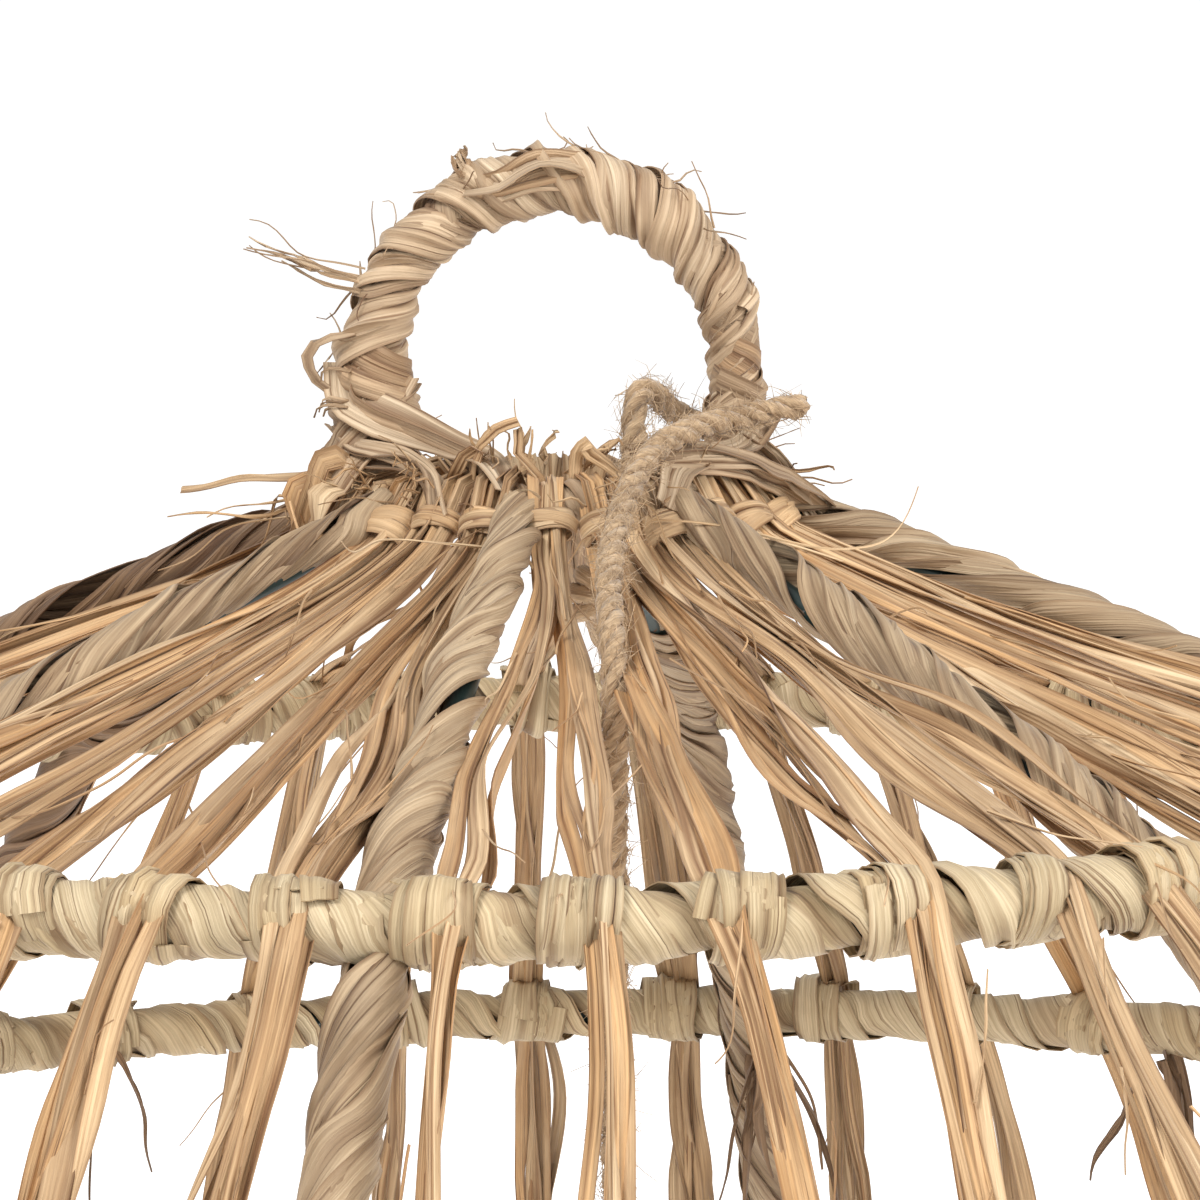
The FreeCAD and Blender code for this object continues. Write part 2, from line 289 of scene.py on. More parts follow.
class LeafBlank:
    """The flat blank that every leaf strip is bent from, kept once for each fineness."""

    made: dict[tuple[int, int], np.ndarray] = {}

    @classmethod
    def faces(cls, rows: int, columns: int) -> np.ndarray:
        """Makes a flat blank, or finds the one made before.

        Args:
            rows: points along the strip.
            columns: points across the strip.

        Returns:
            The corners of its faces, with points counted row by row.
        """
        key = (rows, columns)
        if key not in cls.made:
            bpy.ops.object.select_all(action="DESELECT")
            bpy.ops.mesh.primitive_grid_add(x_subdivisions=columns - 1, y_subdivisions=rows - 1, size=1)
            blank = bpy.context.object
            corners = np.zeros(len(blank.data.loops), np.int32)
            blank.data.loops.foreach_get("vertex_index", corners)
            cls.made[key] = corners.reshape(-1, 4)
            bpy.data.objects.remove(blank)
        return cls.made[key]


@dataclass
class LeafPile:
    """Leaf strips that are gathered and then joined into one piece."""

    name: str
    rng: np.random.Generator
    grids: list = field(default_factory=list)
    faces: list = field(default_factory=list)
    spans: list = field(default_factory=list)
    tones: list = field(default_factory=list)
    total: int = 0

    def add(
        self,
        grid: np.ndarray,
        width: float,
        crease: np.ndarray | None = None,
        tone: float | None = None,
        warmth: float | None = None,
    ) -> None:
        """Adds one strip.

        Args:
            grid: its points, rows along and columns across, in millimetres.
            width: its usual width, for the scale of its grain.
            crease: how deep each point lies in a crease, 0 to 1, where the material paints shade.
            tone: how light it is, 0 to 1, or None for chance.
            warmth: how orange it is, 0 to 1, or None for chance.
        """
        rows, columns = grid.shape[:2]
        self.faces.append(LeafBlank.faces(rows, columns) + self.total)
        self.grids.append(grid.reshape(-1, 3))
        steps = np.linalg.norm(np.diff(grid[:, columns // 2], axis=0), axis=1)
        along = np.concatenate([[0.0], np.cumsum(steps)]) + self.rng.uniform(0, GRAIN_SHIFT_ALONG)
        across = np.linspace(0, width, columns) + self.rng.uniform(0, GRAIN_SHIFT_ACROSS)
        span = np.stack(np.broadcast_arrays(across[None, :], along[:, None]), -1)
        self.spans.append(span.reshape(-1, 2))
        tone = self.rng.uniform(0.15, 0.95) if tone is None else tone
        warmth = self.rng.beta(1.2, 2.6) if warmth is None else warmth
        whole = np.ones((rows, columns))
        edge = np.abs(np.linspace(-1, 1, columns)) * whole
        crease = 0 * whole if crease is None else crease
        # Channels: tone, warmth, nearness to the edge (for edge browning and painted overlap shade) and
        # crease depth (for painted crease shade).
        values = np.stack([tone * whole, warmth * whole, edge, crease], -1)
        self.tones.append(values.reshape(-1, 4))
        self.total += rows * columns

    def finish(self, finish: "LeafFinish | Jute", thickness: float, *nodes: str) -> bpy.types.Object:
        """Joins the strips into one piece, gives it thickness and dresses it.

        Args:
            finish: what the leaf or jute looks like.
            thickness: of one strip, in millimetres.
            nodes: CAD nodes that the piece stands for.

        Returns:
            The finished piece.
        """
        points = np.concatenate(self.grids) * MM
        faces = np.concatenate(self.faces)
        mesh = bpy.data.meshes.new(self.name)
        mesh.vertices.add(len(points))
        mesh.vertices.foreach_set("co", points.astype(np.float32).ravel())
        mesh.loops.add(faces.size)
        mesh.loops.foreach_set("vertex_index", faces.astype(np.int32).ravel())
        mesh.polygons.add(len(faces))
        mesh.polygons.foreach_set("loop_start", np.arange(0, faces.size, 4, dtype=np.int32))
        mesh.update(calc_edges=True)
        layer = mesh.uv_layers.new(name="leaf")
        spans = (np.concatenate(self.spans) * MM)[faces.ravel()]
        layer.data.foreach_set("uv", spans.astype(np.float32).ravel())
        attribute = mesh.color_attributes.new("strip", "FLOAT_COLOR", "POINT")
        attribute.data.foreach_set("color", np.concatenate(self.tones).astype(np.float32).ravel())
        piece = bpy.data.objects.new(self.name, mesh)
        bpy.context.scene.collection.objects.link(piece)
        bpy.ops.object.select_all(action="DESELECT")
        piece.select_set(True)
        bpy.context.view_layer.objects.active = piece
        wall = piece.modifiers.new("wall", "SOLIDIFY")
        wall.thickness = thickness * MM
        wall.offset = 0.0
        bpy.ops.object.modifier_apply(modifier=wall.name)
        bpy.ops.object.shade_smooth_by_angle(angle=SMOOTH_BELOW)
        mesh = piece.data
        mesh.materials.clear()
        mesh.materials.append(finish.material())
        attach(piece, "root")
        if nodes:
            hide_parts(*nodes)
        log.info("%s: %d faces", self.name, len(mesh.polygons))
        return piece


@dataclass
class Winding:
    """Leaf strips wound round a tube in overlapping turns, in millimetres.

    The profile is added to the radius from one end of the winding to the other. The swell is added on one
    side of the tube, where a strip goes over something else. Each strip starts on the end of the last one
    and its own ends are tucked in.
    """

    radius: float
    pitch: float
    starts: int
    width: float
    lift: float = 0.55
    pleat: float = 0.28
    lump: float = 0.35
    wind: Wind = Wind.RIGHT
    columns: int = 13
    samples: int = 30
    folds: int = 6
    profile: tuple[float, ...] = (0.0, 0.0)
    swell: float = 0.0
    swell_at: float = 0.0
    swell_angle: float = 0.85
    overlap_turns: float = 0.22
    tuck: float = 0.5
    tuck_turns: float = 0.12
    lump_spacing: float = 9.0

    def wrap(self, pile: LeafPile, route: Route, begin: float, end: float, **shades: float) -> None:
        """Winds strips from one place on a route to another.

        Args:
            pile: where the strips go.
            route: middle line of the tube.
            begin: where the winding starts along the route.
            end: where it ends.
            shades: tone and warmth of the strips, if not by chance.
        """
        rng = pile.rng
        phases = rng.uniform(0, TURN) + TURN * (np.arange(self.starts) / self.starts)
        lumps = wander(rng, 512, max(3, int((end - begin) / self.lump_spacing)), self.lump)
        share = np.linspace(0, 1, len(lumps))
        lumps = lumps + np.interp(share, np.linspace(0, 1, len(self.profile)), self.profile)
        for phase in phases:
            place = begin - self.pitch * rng.uniform(0.2, 0.5)
            while place < end:
                turns = rng.uniform(2.2, 5.0)
                turns = min(turns, (end - place) / self.pitch + 0.4)
                self.strip(pile, route, place, turns, phase, lumps, (begin, end), **shades)
                phase += TURN * turns * self.wind.value
                place += self.pitch * turns - self.pitch * self.overlap_turns
                phase -= TURN * self.overlap_turns * self.wind.value

    def strip(
        self,
        pile: LeafPile,
        route: Route,
        place: float,
        turns: float,
        phase: float,
        lumps: np.ndarray,
        limits: tuple[float, float],
        **shades: float,
    ) -> None:
        """Winds one strip.

        Args:
            pile: where the strip goes.
            route: middle line of the tube.
            place: where it starts along the route.
            turns: how many times it goes round.
            phase: angle that it starts at.
            lumps: changes of radius along the whole winding.
            limits: ends of the whole winding.
            shades: tone and warmth of the strip, if not by chance.
        """
        rng = pile.rng
        rows = max(8, int(turns * self.samples))
        along = np.linspace(0, turns, rows)
        knots = max(3, int(turns * 5))
        width = self.width * (1 + wander(rng, rows, knots, 0.12) + rng.uniform(-0.25, 0.15))
        middle = place + self.pitch * along + wander(rng, rows, knots, self.pitch * 0.035)
        angle = phase + TURN * along * self.wind.value
        run = math.hypot(self.radius, self.pitch / TURN)
        lean_place, lean_angle = self.radius / run, self.pitch / TURN / run
        column = np.linspace(-0.5, 0.5, self.columns)
        offset = column[None, :] * width[:, None]
        places = middle[:, None] + offset * lean_place
        angles = angle[:, None] - offset * lean_angle / self.radius * self.wind.value
        # The trailing edge of each turn lies on the turn before it.
        radius = self.radius + self.lift * (0.5 - column)[None, :] + rng.normal(0, 0.18)
        radius = radius + wander(rng, rows, knots * 2, 0.16)[:, None]
        share = np.clip((places - limits[0]) / max(1e-6, limits[1] - limits[0]), 0, 1)
        radius = radius + np.interp(share, np.linspace(0, 1, len(lumps)), lumps)
        rise, crease = pleats(rng, rows, self.columns, self.pleat, self.folds)
        radius = radius + rise
        untucked = np.minimum(np.minimum(along, turns - along) / self.tuck_turns, 1)[:, None]
        radius = radius - self.tuck * (1 - untucked)
        radius = radius + self.swell * np.exp(-((wrapped(angles - self.swell_at) / self.swell_angle) ** 2))
        floor = max(self.radius - 1.6, WIRE_RADIUS + 0.5)
        pile.add(route.on_tube(places, angles, np.maximum(radius, floor)), self.width, crease, **shades)


@dataclass
class Bundle:
    """Flat folded leaf strips that lie side by side along a route, in millimetres."""

    strips: int = 7
    width: float = 3.2
    spread: float = 2.2
    depth: float = 1.3
    fold: float = 0.55
    columns: int = 7
    step: float = 4.2
    wave: float = 34.0
    widths: tuple[float, ...] = (0.45, 0.7, 1.0, 1.25)
    chances: tuple[float, ...] = (0.25, 0.3, 0.3, 0.15)

    def lay(
        self, pile: LeafPile, route: Route, begin: float, end: float, gather: np.ndarray, warm: float
    ) -> None:
        """Lays the strips along part of a route.

        Args:
            pile: where the strips go.
            route: middle line of the bundle.
            begin: where the strips start along the route.
            end: where they end.
            gather: how wide the bundle is along its way, 1 for its usual width.
            warm: how orange its strips are, 0 to 1.
        """
        rng = pile.rng
        rows = max(6, int((end - begin) / self.step))
        places = np.linspace(begin, end, rows)
        open_width = np.interp(np.linspace(0, 1, rows), np.linspace(0, 1, len(gather)), gather)
        knots = max(3, int((end - begin) / self.wave))
        twist = wander(rng, rows, max(2, knots // 2), 0.3)
        sway = wander(rng, rows, knots, 0.6)
        order = rng.permutation(self.strips)
        column = np.linspace(-0.5, 0.5, self.columns)
        for index in range(self.strips):
            rank = (index + 0.5) / self.strips - 0.5
            level = (order[index] + 0.5) / self.strips - 0.5
            x = (rank * 2 * self.spread + wander(rng, rows, knots, 0.9)) * open_width
            y = level * 2 * self.depth + wander(rng, rows, knots, 0.45)
            usual = self.width * rng.choice(self.widths, p=self.chances)
            width = usual * (1 + wander(rng, rows, knots, 0.15)) * (0.62 + 0.38 * open_width)
            roll = rng.normal(0, 0.45) + wander(rng, rows, knots, 0.5)
            bend = (np.abs(column - rng.uniform(-0.3, 0.3)) * 2 - 0.5) * rng.choice([-1, 1])
            deep = self.fold * rng.uniform(0.3, 1.7) * (1 + wander(rng, rows, knots, 0.4))
            rise, crease = pleats(rng, rows, self.columns, 0.16 * usual**0.5, 4)
            rise = rise + bend[None, :] * deep[:, None]
            u = column[None, :] * width[:, None]
            cos, sin = np.cos(roll)[:, None], np.sin(roll)[:, None]
            side = x[:, None] * np.cos(twist)[:, None] + u * cos - rise * sin + sway[:, None]
            out = y[:, None] + x[:, None] * np.sin(twist)[:, None] + u * sin + rise * cos
            point, across, normal = route.at(np.repeat(places[:, None], self.columns, 1))
            # A strip that lies low in its bundle is painted darker than one on top, as shade under the strips
            # above it, and more orange, as a painted glow of light through the leaf.
            warmth = float(np.clip(warm + rng.normal(0, 0.32) - 0.45 * level, 0, 1))
            tone = float(np.clip(rng.uniform(0.05, 1.0) + 0.35 * level, 0, 1))
            pile.add(point + side[..., None] * across + out[..., None] * normal, usual, crease, tone, warmth)


def lay_ribbons(pile: LeafPile, ribbons: list[tuple] | tuple, height: float) -> None:
    """Lays short leaf ribbons through places in space.

    Args:
        pile: where they go.
        ribbons: for each, its places in millimetres, how many strips it has and their width.
        height: level that the places are measured from.
    """
    for places, strips, width in ribbons:
        ribbon = Bundle(strips, width, 0.55 * strips**0.5, 0.3 * strips, 0.5, columns=9, step=1.6)
        route = free_route([(x, y, z + height) for x, y, z in places], FRONT_UP)
        ribbon.lay(pile, route, 0.0, route.length, np.array([0.8, 1.1, 1.0, 0.6]), 0.2)


@dataclass
class Fibre:
    """A thin loose fibre or tail that grows out of the leaf, in millimetres."""

    length: float = 25.0
    width: float = 0.5
    bend: float = 0.55
    droop: float = 0.3
    curl: float = 0.0

    def grow(self, pile: LeafPile, start: np.ndarray, heading: np.ndarray, **shades: float) -> None:
        """Grows one fibre.

        Args:
            pile: where it goes.
            start: where it leaves the leaf.
            heading: direction that it starts in.
            shades: its tone and warmth, if not by chance.
        """
        rng = pile.rng
        rows = max(7, int(self.length / 1.6))
        share = np.linspace(0, 1, rows)
        sway = np.stack([wander(rng, rows, 3, self.bend) for _ in range(3)], -1) * share[:, None]
        lean = unit(unit(np.asarray(heading, float)) + sway - np.outer(share, [0, 0, self.droop]))
        if self.curl:
            first = unit(np.cross(lean[0], [0.3, 0.9, 0.2]))
            second = np.cross(lean[0], first)
            turn = self.curl * TURN * share
            lean = unit(lean * 0.6 + np.outer(np.cos(turn), first) + np.outer(np.sin(turn), second))
        line = np.asarray(start, float) + np.cumsum(lean, axis=0) * self.length / rows
        side = unit(np.cross(lean, rng.normal(0, 1, 3)))
        up = np.cross(side, lean)
        spin = wander(rng, rows, 3, 1.0)[:, None]
        across = side * np.cos(spin) + up * np.sin(spin)
        taper = 1 - 0.7 * share**2
        half = 0.5 * self.width * taper[:, None]
        ridge = line + np.cross(across, lean) * half * 0.7
        pile.add(np.stack([line - across * half, ridge, line + across * half], 1), self.width, **shades)


class Desk:
    """Adds shader nodes to one tree and wires them up."""

    def __init__(self, tree: bpy.types.NodeTree) -> None:
        """Keeps the tree that the nodes go in."""
        self.tree = tree

    def put(self, target: bpy.types.NodeSocket, value: object) -> None:
        """Links a socket to an input, or sets the input to a plain value.

        Args:
            target: the input.
            value: a socket, or a value for the input.
        """
        if isinstance(value, bpy.types.NodeSocket):
            self.tree.links.new(value, target)
        else:
            target.default_value = value

    def node(self, kind: str, **inputs: object) -> bpy.types.Node:
        """Adds a node.

        Args:
            kind: its type.
            inputs: sockets or values for its inputs, by name.

        Returns:
            The node.
        """
        node = self.tree.nodes.new(kind)
        for name, value in inputs.items():
            self.put(node.inputs[name], value)
        return node

    def mix(self, share: object, first: object, second: object, mode: str = "MIX") -> bpy.types.NodeSocket:
        """Mixes two colours.

        Args:
            share: how much of the second colour is mixed in, 0 to 1.
            first: a colour.
            second: the other.
            mode: the name of the way they are mixed.

        Returns:
            The mixed colour.
        """
        node = self.tree.nodes.new("ShaderNodeMix")
        node.data_type = "RGBA"
        node.blend_type = mode
        for index, value in ((0, share), (6, first), (7, second)):
            self.put(node.inputs[index], value)
        return node.outputs[2]

    def math(self, operation: str, *values: object) -> bpy.types.NodeSocket:
        """Works out a sum, product or other Math node.

        Args:
            operation: the node's operation.
            values: sockets or numbers that go in.

        Returns:
            The result.
        """
        node = self.tree.nodes.new("ShaderNodeMath")
        node.operation = operation
        for index, value in enumerate(values):
            self.put(node.inputs[index], value)
        return node.outputs[0]

    def ramp(self, factor: bpy.types.NodeSocket, low: float, high: float) -> bpy.types.NodeSocket:
        """Maps a value so that low gives 0 and high gives 1, with soft ends.

        Args:
            factor: the value.
            low: what gives 0.
            high: what gives 1.

        Returns:
            The mapped value.
        """
        node = self.node("ShaderNodeMapRange", Value=factor)
        node.interpolation_type = "SMOOTHSTEP"
        node.inputs["From Min"].default_value = low
        node.inputs["From Max"].default_value = high
        return node.outputs["Result"]

    def noise(
        self, place: bpy.types.NodeSocket, scale: tuple[float, float, float], detail: float,
        rough: float = 0.5,
    ) -> bpy.types.NodeSocket:
        """Makes noise, stretched by a scale along each axis.

        Args:
            place: coordinates that it is laid on.
            scale: how fine it is along each of them.
            detail: how many finer layers it has.
            rough: how strong those layers are.

        Returns:
            The noise, 0 to 1.
        """
        stretched = self.node("ShaderNodeMapping", Vector=place, Scale=scale).outputs[0]
        node = self.node("ShaderNodeTexNoise", Vector=stretched, Scale=1.0, Detail=detail, Roughness=rough)
        return node.outputs[0]


def new_material(name: str) -> tuple[bpy.types.Material, Desk, bpy.types.NodeInputs]:
    """Makes a material with a plain shader.

    Args:
        name: of the material.

    Returns:
        The material, a desk for its nodes and the inputs of its shader.
    """
    material = bpy.data.materials.new(name)
    material.use_nodes = True
    return material, Desk(material.node_tree), material.node_tree.nodes["Principled BSDF"].inputs


def grain_group() -> bpy.types.NodeTree:
    """Makes the leaf grain shared by every leaf material.

    Returns:
        A group that gives fine lengthwise lines, coarse bands, blotches, creases and a height.
    """
    name = "leaf_grain"
    if name in bpy.data.node_groups:
        return bpy.data.node_groups[name]
    tree = bpy.data.node_groups.new(name, "ShaderNodeTree")
    tree.interface.new_socket("Vector", in_out="INPUT", socket_type="NodeSocketVector")
    for output in ("Lines", "Bands", "Blotches", "Creases", "Height"):
        tree.interface.new_socket(output, in_out="OUTPUT", socket_type="NodeSocketFloat")
    source = tree.nodes.new("NodeGroupInput").outputs["Vector"]
    desk = Desk(tree)
    lines, bands, blotches, creases = (
        desk.ramp(desk.noise(source, scale, detail, 0.62), low, high)
        for scale, detail, low, high in (
            ((2600, 34, 1), 3, 0.36, 0.64),
            ((850, 13, 1), 2, 0.38, 0.62),
            ((160, 36, 1), 3, 0.36, 0.70),
            ((1500, 17, 1), 2, 0.31, 0.39),
        )
    )
    height = desk.math("ADD", desk.math("MULTIPLY", lines, 0.3), desk.math("MULTIPLY", bands, 0.5))
    height = desk.math("ADD", height, desk.math("MULTIPLY", creases, 0.6))
    desk.node("NodeGroupOutput", Lines=lines, Bands=bands, Blotches=blotches, Creases=creases, Height=height)
    return tree


@dataclass(frozen=True)
class LeafFinish:
    """Dry palm leaf: a pale and a dark shade of it, and how orange its warm strips are."""

    name: str
    slot: str
    pale: tuple[float, float, float]
    dark: tuple[float, float, float]
    warm: tuple[float, float, float]
    rough: float = 0.55
    line_brown: tuple[float, float, float, float] = (0.52, 0.43, 0.34, 1)
    # edge darkening: partly the leaf's own browning at its edges, partly painted shade where strips overlap
    edge_browning_and_shade: tuple[float, float, float, float] = (0.42, 0.30, 0.20, 1)
    # painted shade: the colour that the fine creases of the grain are darkened towards
    fine_crease_shade: tuple[float, float, float, float] = (0.36, 0.24, 0.15, 1)
    # painted shade: the colour that the leaf is darkened towards deep in its pleat creases
    crease_shade_colour: tuple[float, float, float, float] = (0.34, 0.22, 0.13, 1)

    def material(self) -> bpy.types.Material:
        """Makes the material, or finds the one made before.

        Returns:
            The material.
        """
        if self.name in bpy.data.materials:
            return bpy.data.materials[self.name]
        material, desk, shader = new_material(self.name)
        shader["Specular IOR Level"].default_value = 0.35
        shader["Sheen Weight"].default_value = 0.12
        layout = desk.node("ShaderNodeUVMap")
        layout.uv_map = "leaf"
        strip = desk.node("ShaderNodeAttribute")
        strip.attribute_name = "strip"
        tone, warmth, edge = desk.node("ShaderNodeSeparateColor", Color=strip.outputs["Color"]).outputs
        grain = desk.node("ShaderNodeGroup")
        grain.node_tree = grain_group()
        desk.put(grain.inputs[0], layout.outputs[0])
        lines, bands, blotches, creases, height = grain.outputs
        pale, dark = (*self.pale, 1), (*self.dark, 1)
        base = desk.mix(tone, dark, pale)
        warmed = desk.mix(desk.math("MULTIPLY", warmth, 0.9), base, (*self.warm, 1))
        fade = desk.math("MULTIPLY", desk.math("SUBTRACT", 1.0, bands), 0.55)
        fine = desk.math("MULTIPLY", desk.math("SUBTRACT", 1.0, lines), 0.6)
        lined = desk.mix(fine, desk.mix(fade, warmed, dark), self.line_brown, "MULTIPLY")
        colour = desk.mix(desk.math("MULTIPLY", blotches, 0.22), lined, pale)
        # Darkens the strip edges: partly the leaf's browning, partly painted shade where one strip lies over
        # the next.
        rim = desk.math("MULTIPLY", desk.ramp(edge, 0.80, 1.0), 0.6)
        colour = desk.mix(rim, colour, self.edge_browning_and_shade, "MULTIPLY")
        # Painted shade in the fine creases of the grain, which also raise the bump.
        split = desk.math("MULTIPLY", desk.math("SUBTRACT", 1.0, creases), 0.8)
        colour = desk.mix(split, colour, self.fine_crease_shade, "MULTIPLY")
        # Painted shade: darkens the leaf where it lies deep in a pleat crease.
        crease_shade_share = desk.math("MULTIPLY", strip.outputs["Alpha"], 0.85)
        desk.put(shader["Base Color"], desk.mix(crease_shade_share, colour, self.crease_shade_colour, "MULTIPLY"))
        rough = desk.math("ADD", desk.math("MULTIPLY", lines, 0.18), self.rough - 0.08)
        desk.put(shader["Roughness"], rough)
        bump = desk.node("ShaderNodeBump", Strength=0.7, Distance=0.0004, Height=height)
        desk.put(shader["Normal"], bump.outputs[0])
        return material


RING_LEAF = LeafFinish(
    "dry_ring_leaf", "ring_leaf", pale=(0.78, 0.62, 0.43), dark=(0.31, 0.195, 0.105), warm=(0.54, 0.34, 0.18))
HOOP_LEAF = LeafFinish(
    "dry_hoop_leaf", "hoop_leaf", pale=(0.82, 0.69, 0.47), dark=(0.44, 0.33, 0.18), warm=(0.64, 0.47, 0.26))
SPOKE_LEAF = LeafFinish(
    "dry_spoke_leaf", "spoke_leaf", pale=(0.64, 0.50, 0.33), dark=(0.27, 0.18, 0.10), warm=(0.50, 0.34, 0.19))
DARK_LEAF = LeafFinish(
    "dry_dark_leaf", "dark_leaf", pale=(0.38, 0.25, 0.15), dark=(0.12, 0.065, 0.03), warm=(0.32, 0.18, 0.08))
STRAND_LEAF = LeafFinish(
    "dry_strand_leaf", "strand_leaf",
    pale=(0.84, 0.64, 0.40), dark=(0.44, 0.275, 0.14), warm=(0.70, 0.40, 0.165))


@dataclass(frozen=True)
class PaintedWire:
    """Dark green-black paint on steel wire, chipped to the metal and a little rust."""

    name: str = "chipped_frame_paint"
    paint: tuple[float, float, float] = (0.022, 0.040, 0.036)
    steel: tuple[float, float, float] = (0.30, 0.29, 0.27)
    rust: tuple[float, float, float] = (0.13, 0.05, 0.02)

    def material(self) -> bpy.types.Material:
        """Makes the material.

        Returns:
            The material.
        """
        material, desk, shader = new_material(self.name)
        place = desk.node("ShaderNodeTexCoord").outputs["Object"]
        chips = desk.node("ShaderNodeTexNoise", Vector=place, Scale=520.0, Detail=4.0).outputs[0]
        stains = desk.node("ShaderNodeTexNoise", Vector=place, Scale=140.0, Detail=3.0).outputs[0]
        bare = desk.ramp(chips, 0.64, 0.70)
        metal = desk.mix(desk.ramp(stains, 0.52, 0.68), (*self.steel, 1), (*self.rust, 1))
        desk.put(shader["Base Color"], desk.mix(bare, (*self.paint, 1), metal))
        desk.put(shader["Metallic"], desk.math("MULTIPLY", bare, 0.7))
        desk.put(shader["Roughness"], desk.math("ADD", desk.math("MULTIPLY", stains, 0.35), 0.22))
        bump = desk.node("ShaderNodeBump", Strength=0.4, Distance=0.0002, Height=chips)
        desk.put(shader["Normal"], bump.outputs[0])
        return material


@dataclass(frozen=True)
class Jute:
    """Pale brown jute, with fine fibres along its plies."""

    name: str = "twisted_jute"
    slot: str = "jute"
    pale: tuple[float, float, float] = (0.66, 0.47, 0.28)
    dark: tuple[float, float, float] = (0.25, 0.15, 0.075)

    def material(self) -> bpy.types.Material:
        """Makes the material, or finds the one made before.

        Returns:
            The material.
        """
        if self.name in bpy.data.materials:
            return bpy.data.materials[self.name]
        material, desk, shader = new_material(self.name)
        shader["Roughness"].default_value = 0.85
        shader["Sheen Weight"].default_value = 0.35
        layout = desk.node("ShaderNodeUVMap")
        layout.uv_map = "leaf"
        fibre = desk.noise(layout.outputs[0], (5200, 420, 1), 4.0)
        patch = desk.noise(layout.outputs[0], (600, 90, 1), 2.0)
        fine = desk.math("MULTIPLY", desk.ramp(fibre, 0.3, 0.7), 0.6)
        share = desk.math("ADD", fine, desk.math("MULTIPLY", desk.ramp(patch, 0.35, 0.65), 0.4))
        desk.put(shader["Base Color"], desk.mix(share, (*self.dark, 1), (*self.pale, 1)))
        bump = desk.node("ShaderNodeBump", Strength=0.8, Distance=0.0003, Height=fibre)
        desk.put(shader["Normal"], bump.outputs[0])
        return material


@dataclass
class Skeleton:
    """Places of the steel frame, read from the CAD nodes, in millimetres.

    A spoke's head is given as its distance outside the collar and below it. A spoke passes each hoop at
    the same distance inside it and below it.
    """

    collar: tuple[float, float] = field(default_factory=lambda: hoop_size("collar_wire"))
    hoops: dict[str, tuple[float, float]] = field(
        default_factory=lambda: {name: hoop_size(f"{name}_wire") for name in ("hoop_1", "hoop_2", "rim")}
    )
    foot_rise: float = 2.5
    spoke_arch: float = 2.4
    spoke_head: tuple[float, float] = (4.0, 0.6)
    spoke_inside: tuple[float, float] = (2.8, 3.4)

    def ring_route(self) -> Route:
        """Draws the middle line of the hanging ring.

        Returns:
            The line, from the left foot to the right foot.
        """
        radius, collar_height = self.collar
        _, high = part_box("hanging_ring_wire")
        centre = high.z / MM - WIRE_RADIUS - radius
        foot = collar_height + self.foot_rise
        angle = np.linspace(math.pi, 0, 80)
        bow = np.stack([radius * np.cos(angle), 0 * angle, centre + radius * np.sin(angle)], -1)
        rise = np.linspace(foot, centre, 16)[:-1]
        left = np.stack([np.full_like(rise, -radius), 0 * rise, rise], -1)
        right = left[::-1] * [-1, 1, 1]
        points = np.concatenate([left, bow, right])
        return Route(points, np.tile([0.0, -1.0, 0.0], (len(points), 1)))

    def spoke_route(self, index: int) -> Route:
        """Draws the middle line of a spoke's wrap.

        Args:
            index: which spoke, counted from 0.

        Returns:
            The line, from the collar to the rim.
        """
        azimuth = SPOKE_TURN + index * TURN / SPOKE_COUNT
        radius, height = self.collar
        stations = [(radius + self.spoke_head[0], height - self.spoke_head[1])]
        for order, (hoop_radius, hoop_height) in enumerate(self.hoops.values()):
            end = (hoop_radius - self.spoke_inside[0], hoop_height - self.spoke_inside[1])
            start = stations[-1]
            rise = self.spoke_arch if order == 0 else 0.0
            for share in (0.15, 0.3, 0.5, 0.7, 0.85):
                lift = rise * math.sin(math.pi * share)
                distance = start[0] + (end[0] - start[0]) * share + OUT_ACROSS * lift
                level = start[1] + (end[1] - start[1]) * share + OUT_UP * lift
                stations.append((distance, level))
            stations.append(end)
        return radial_route(stations, np.full(len(stations), azimuth))


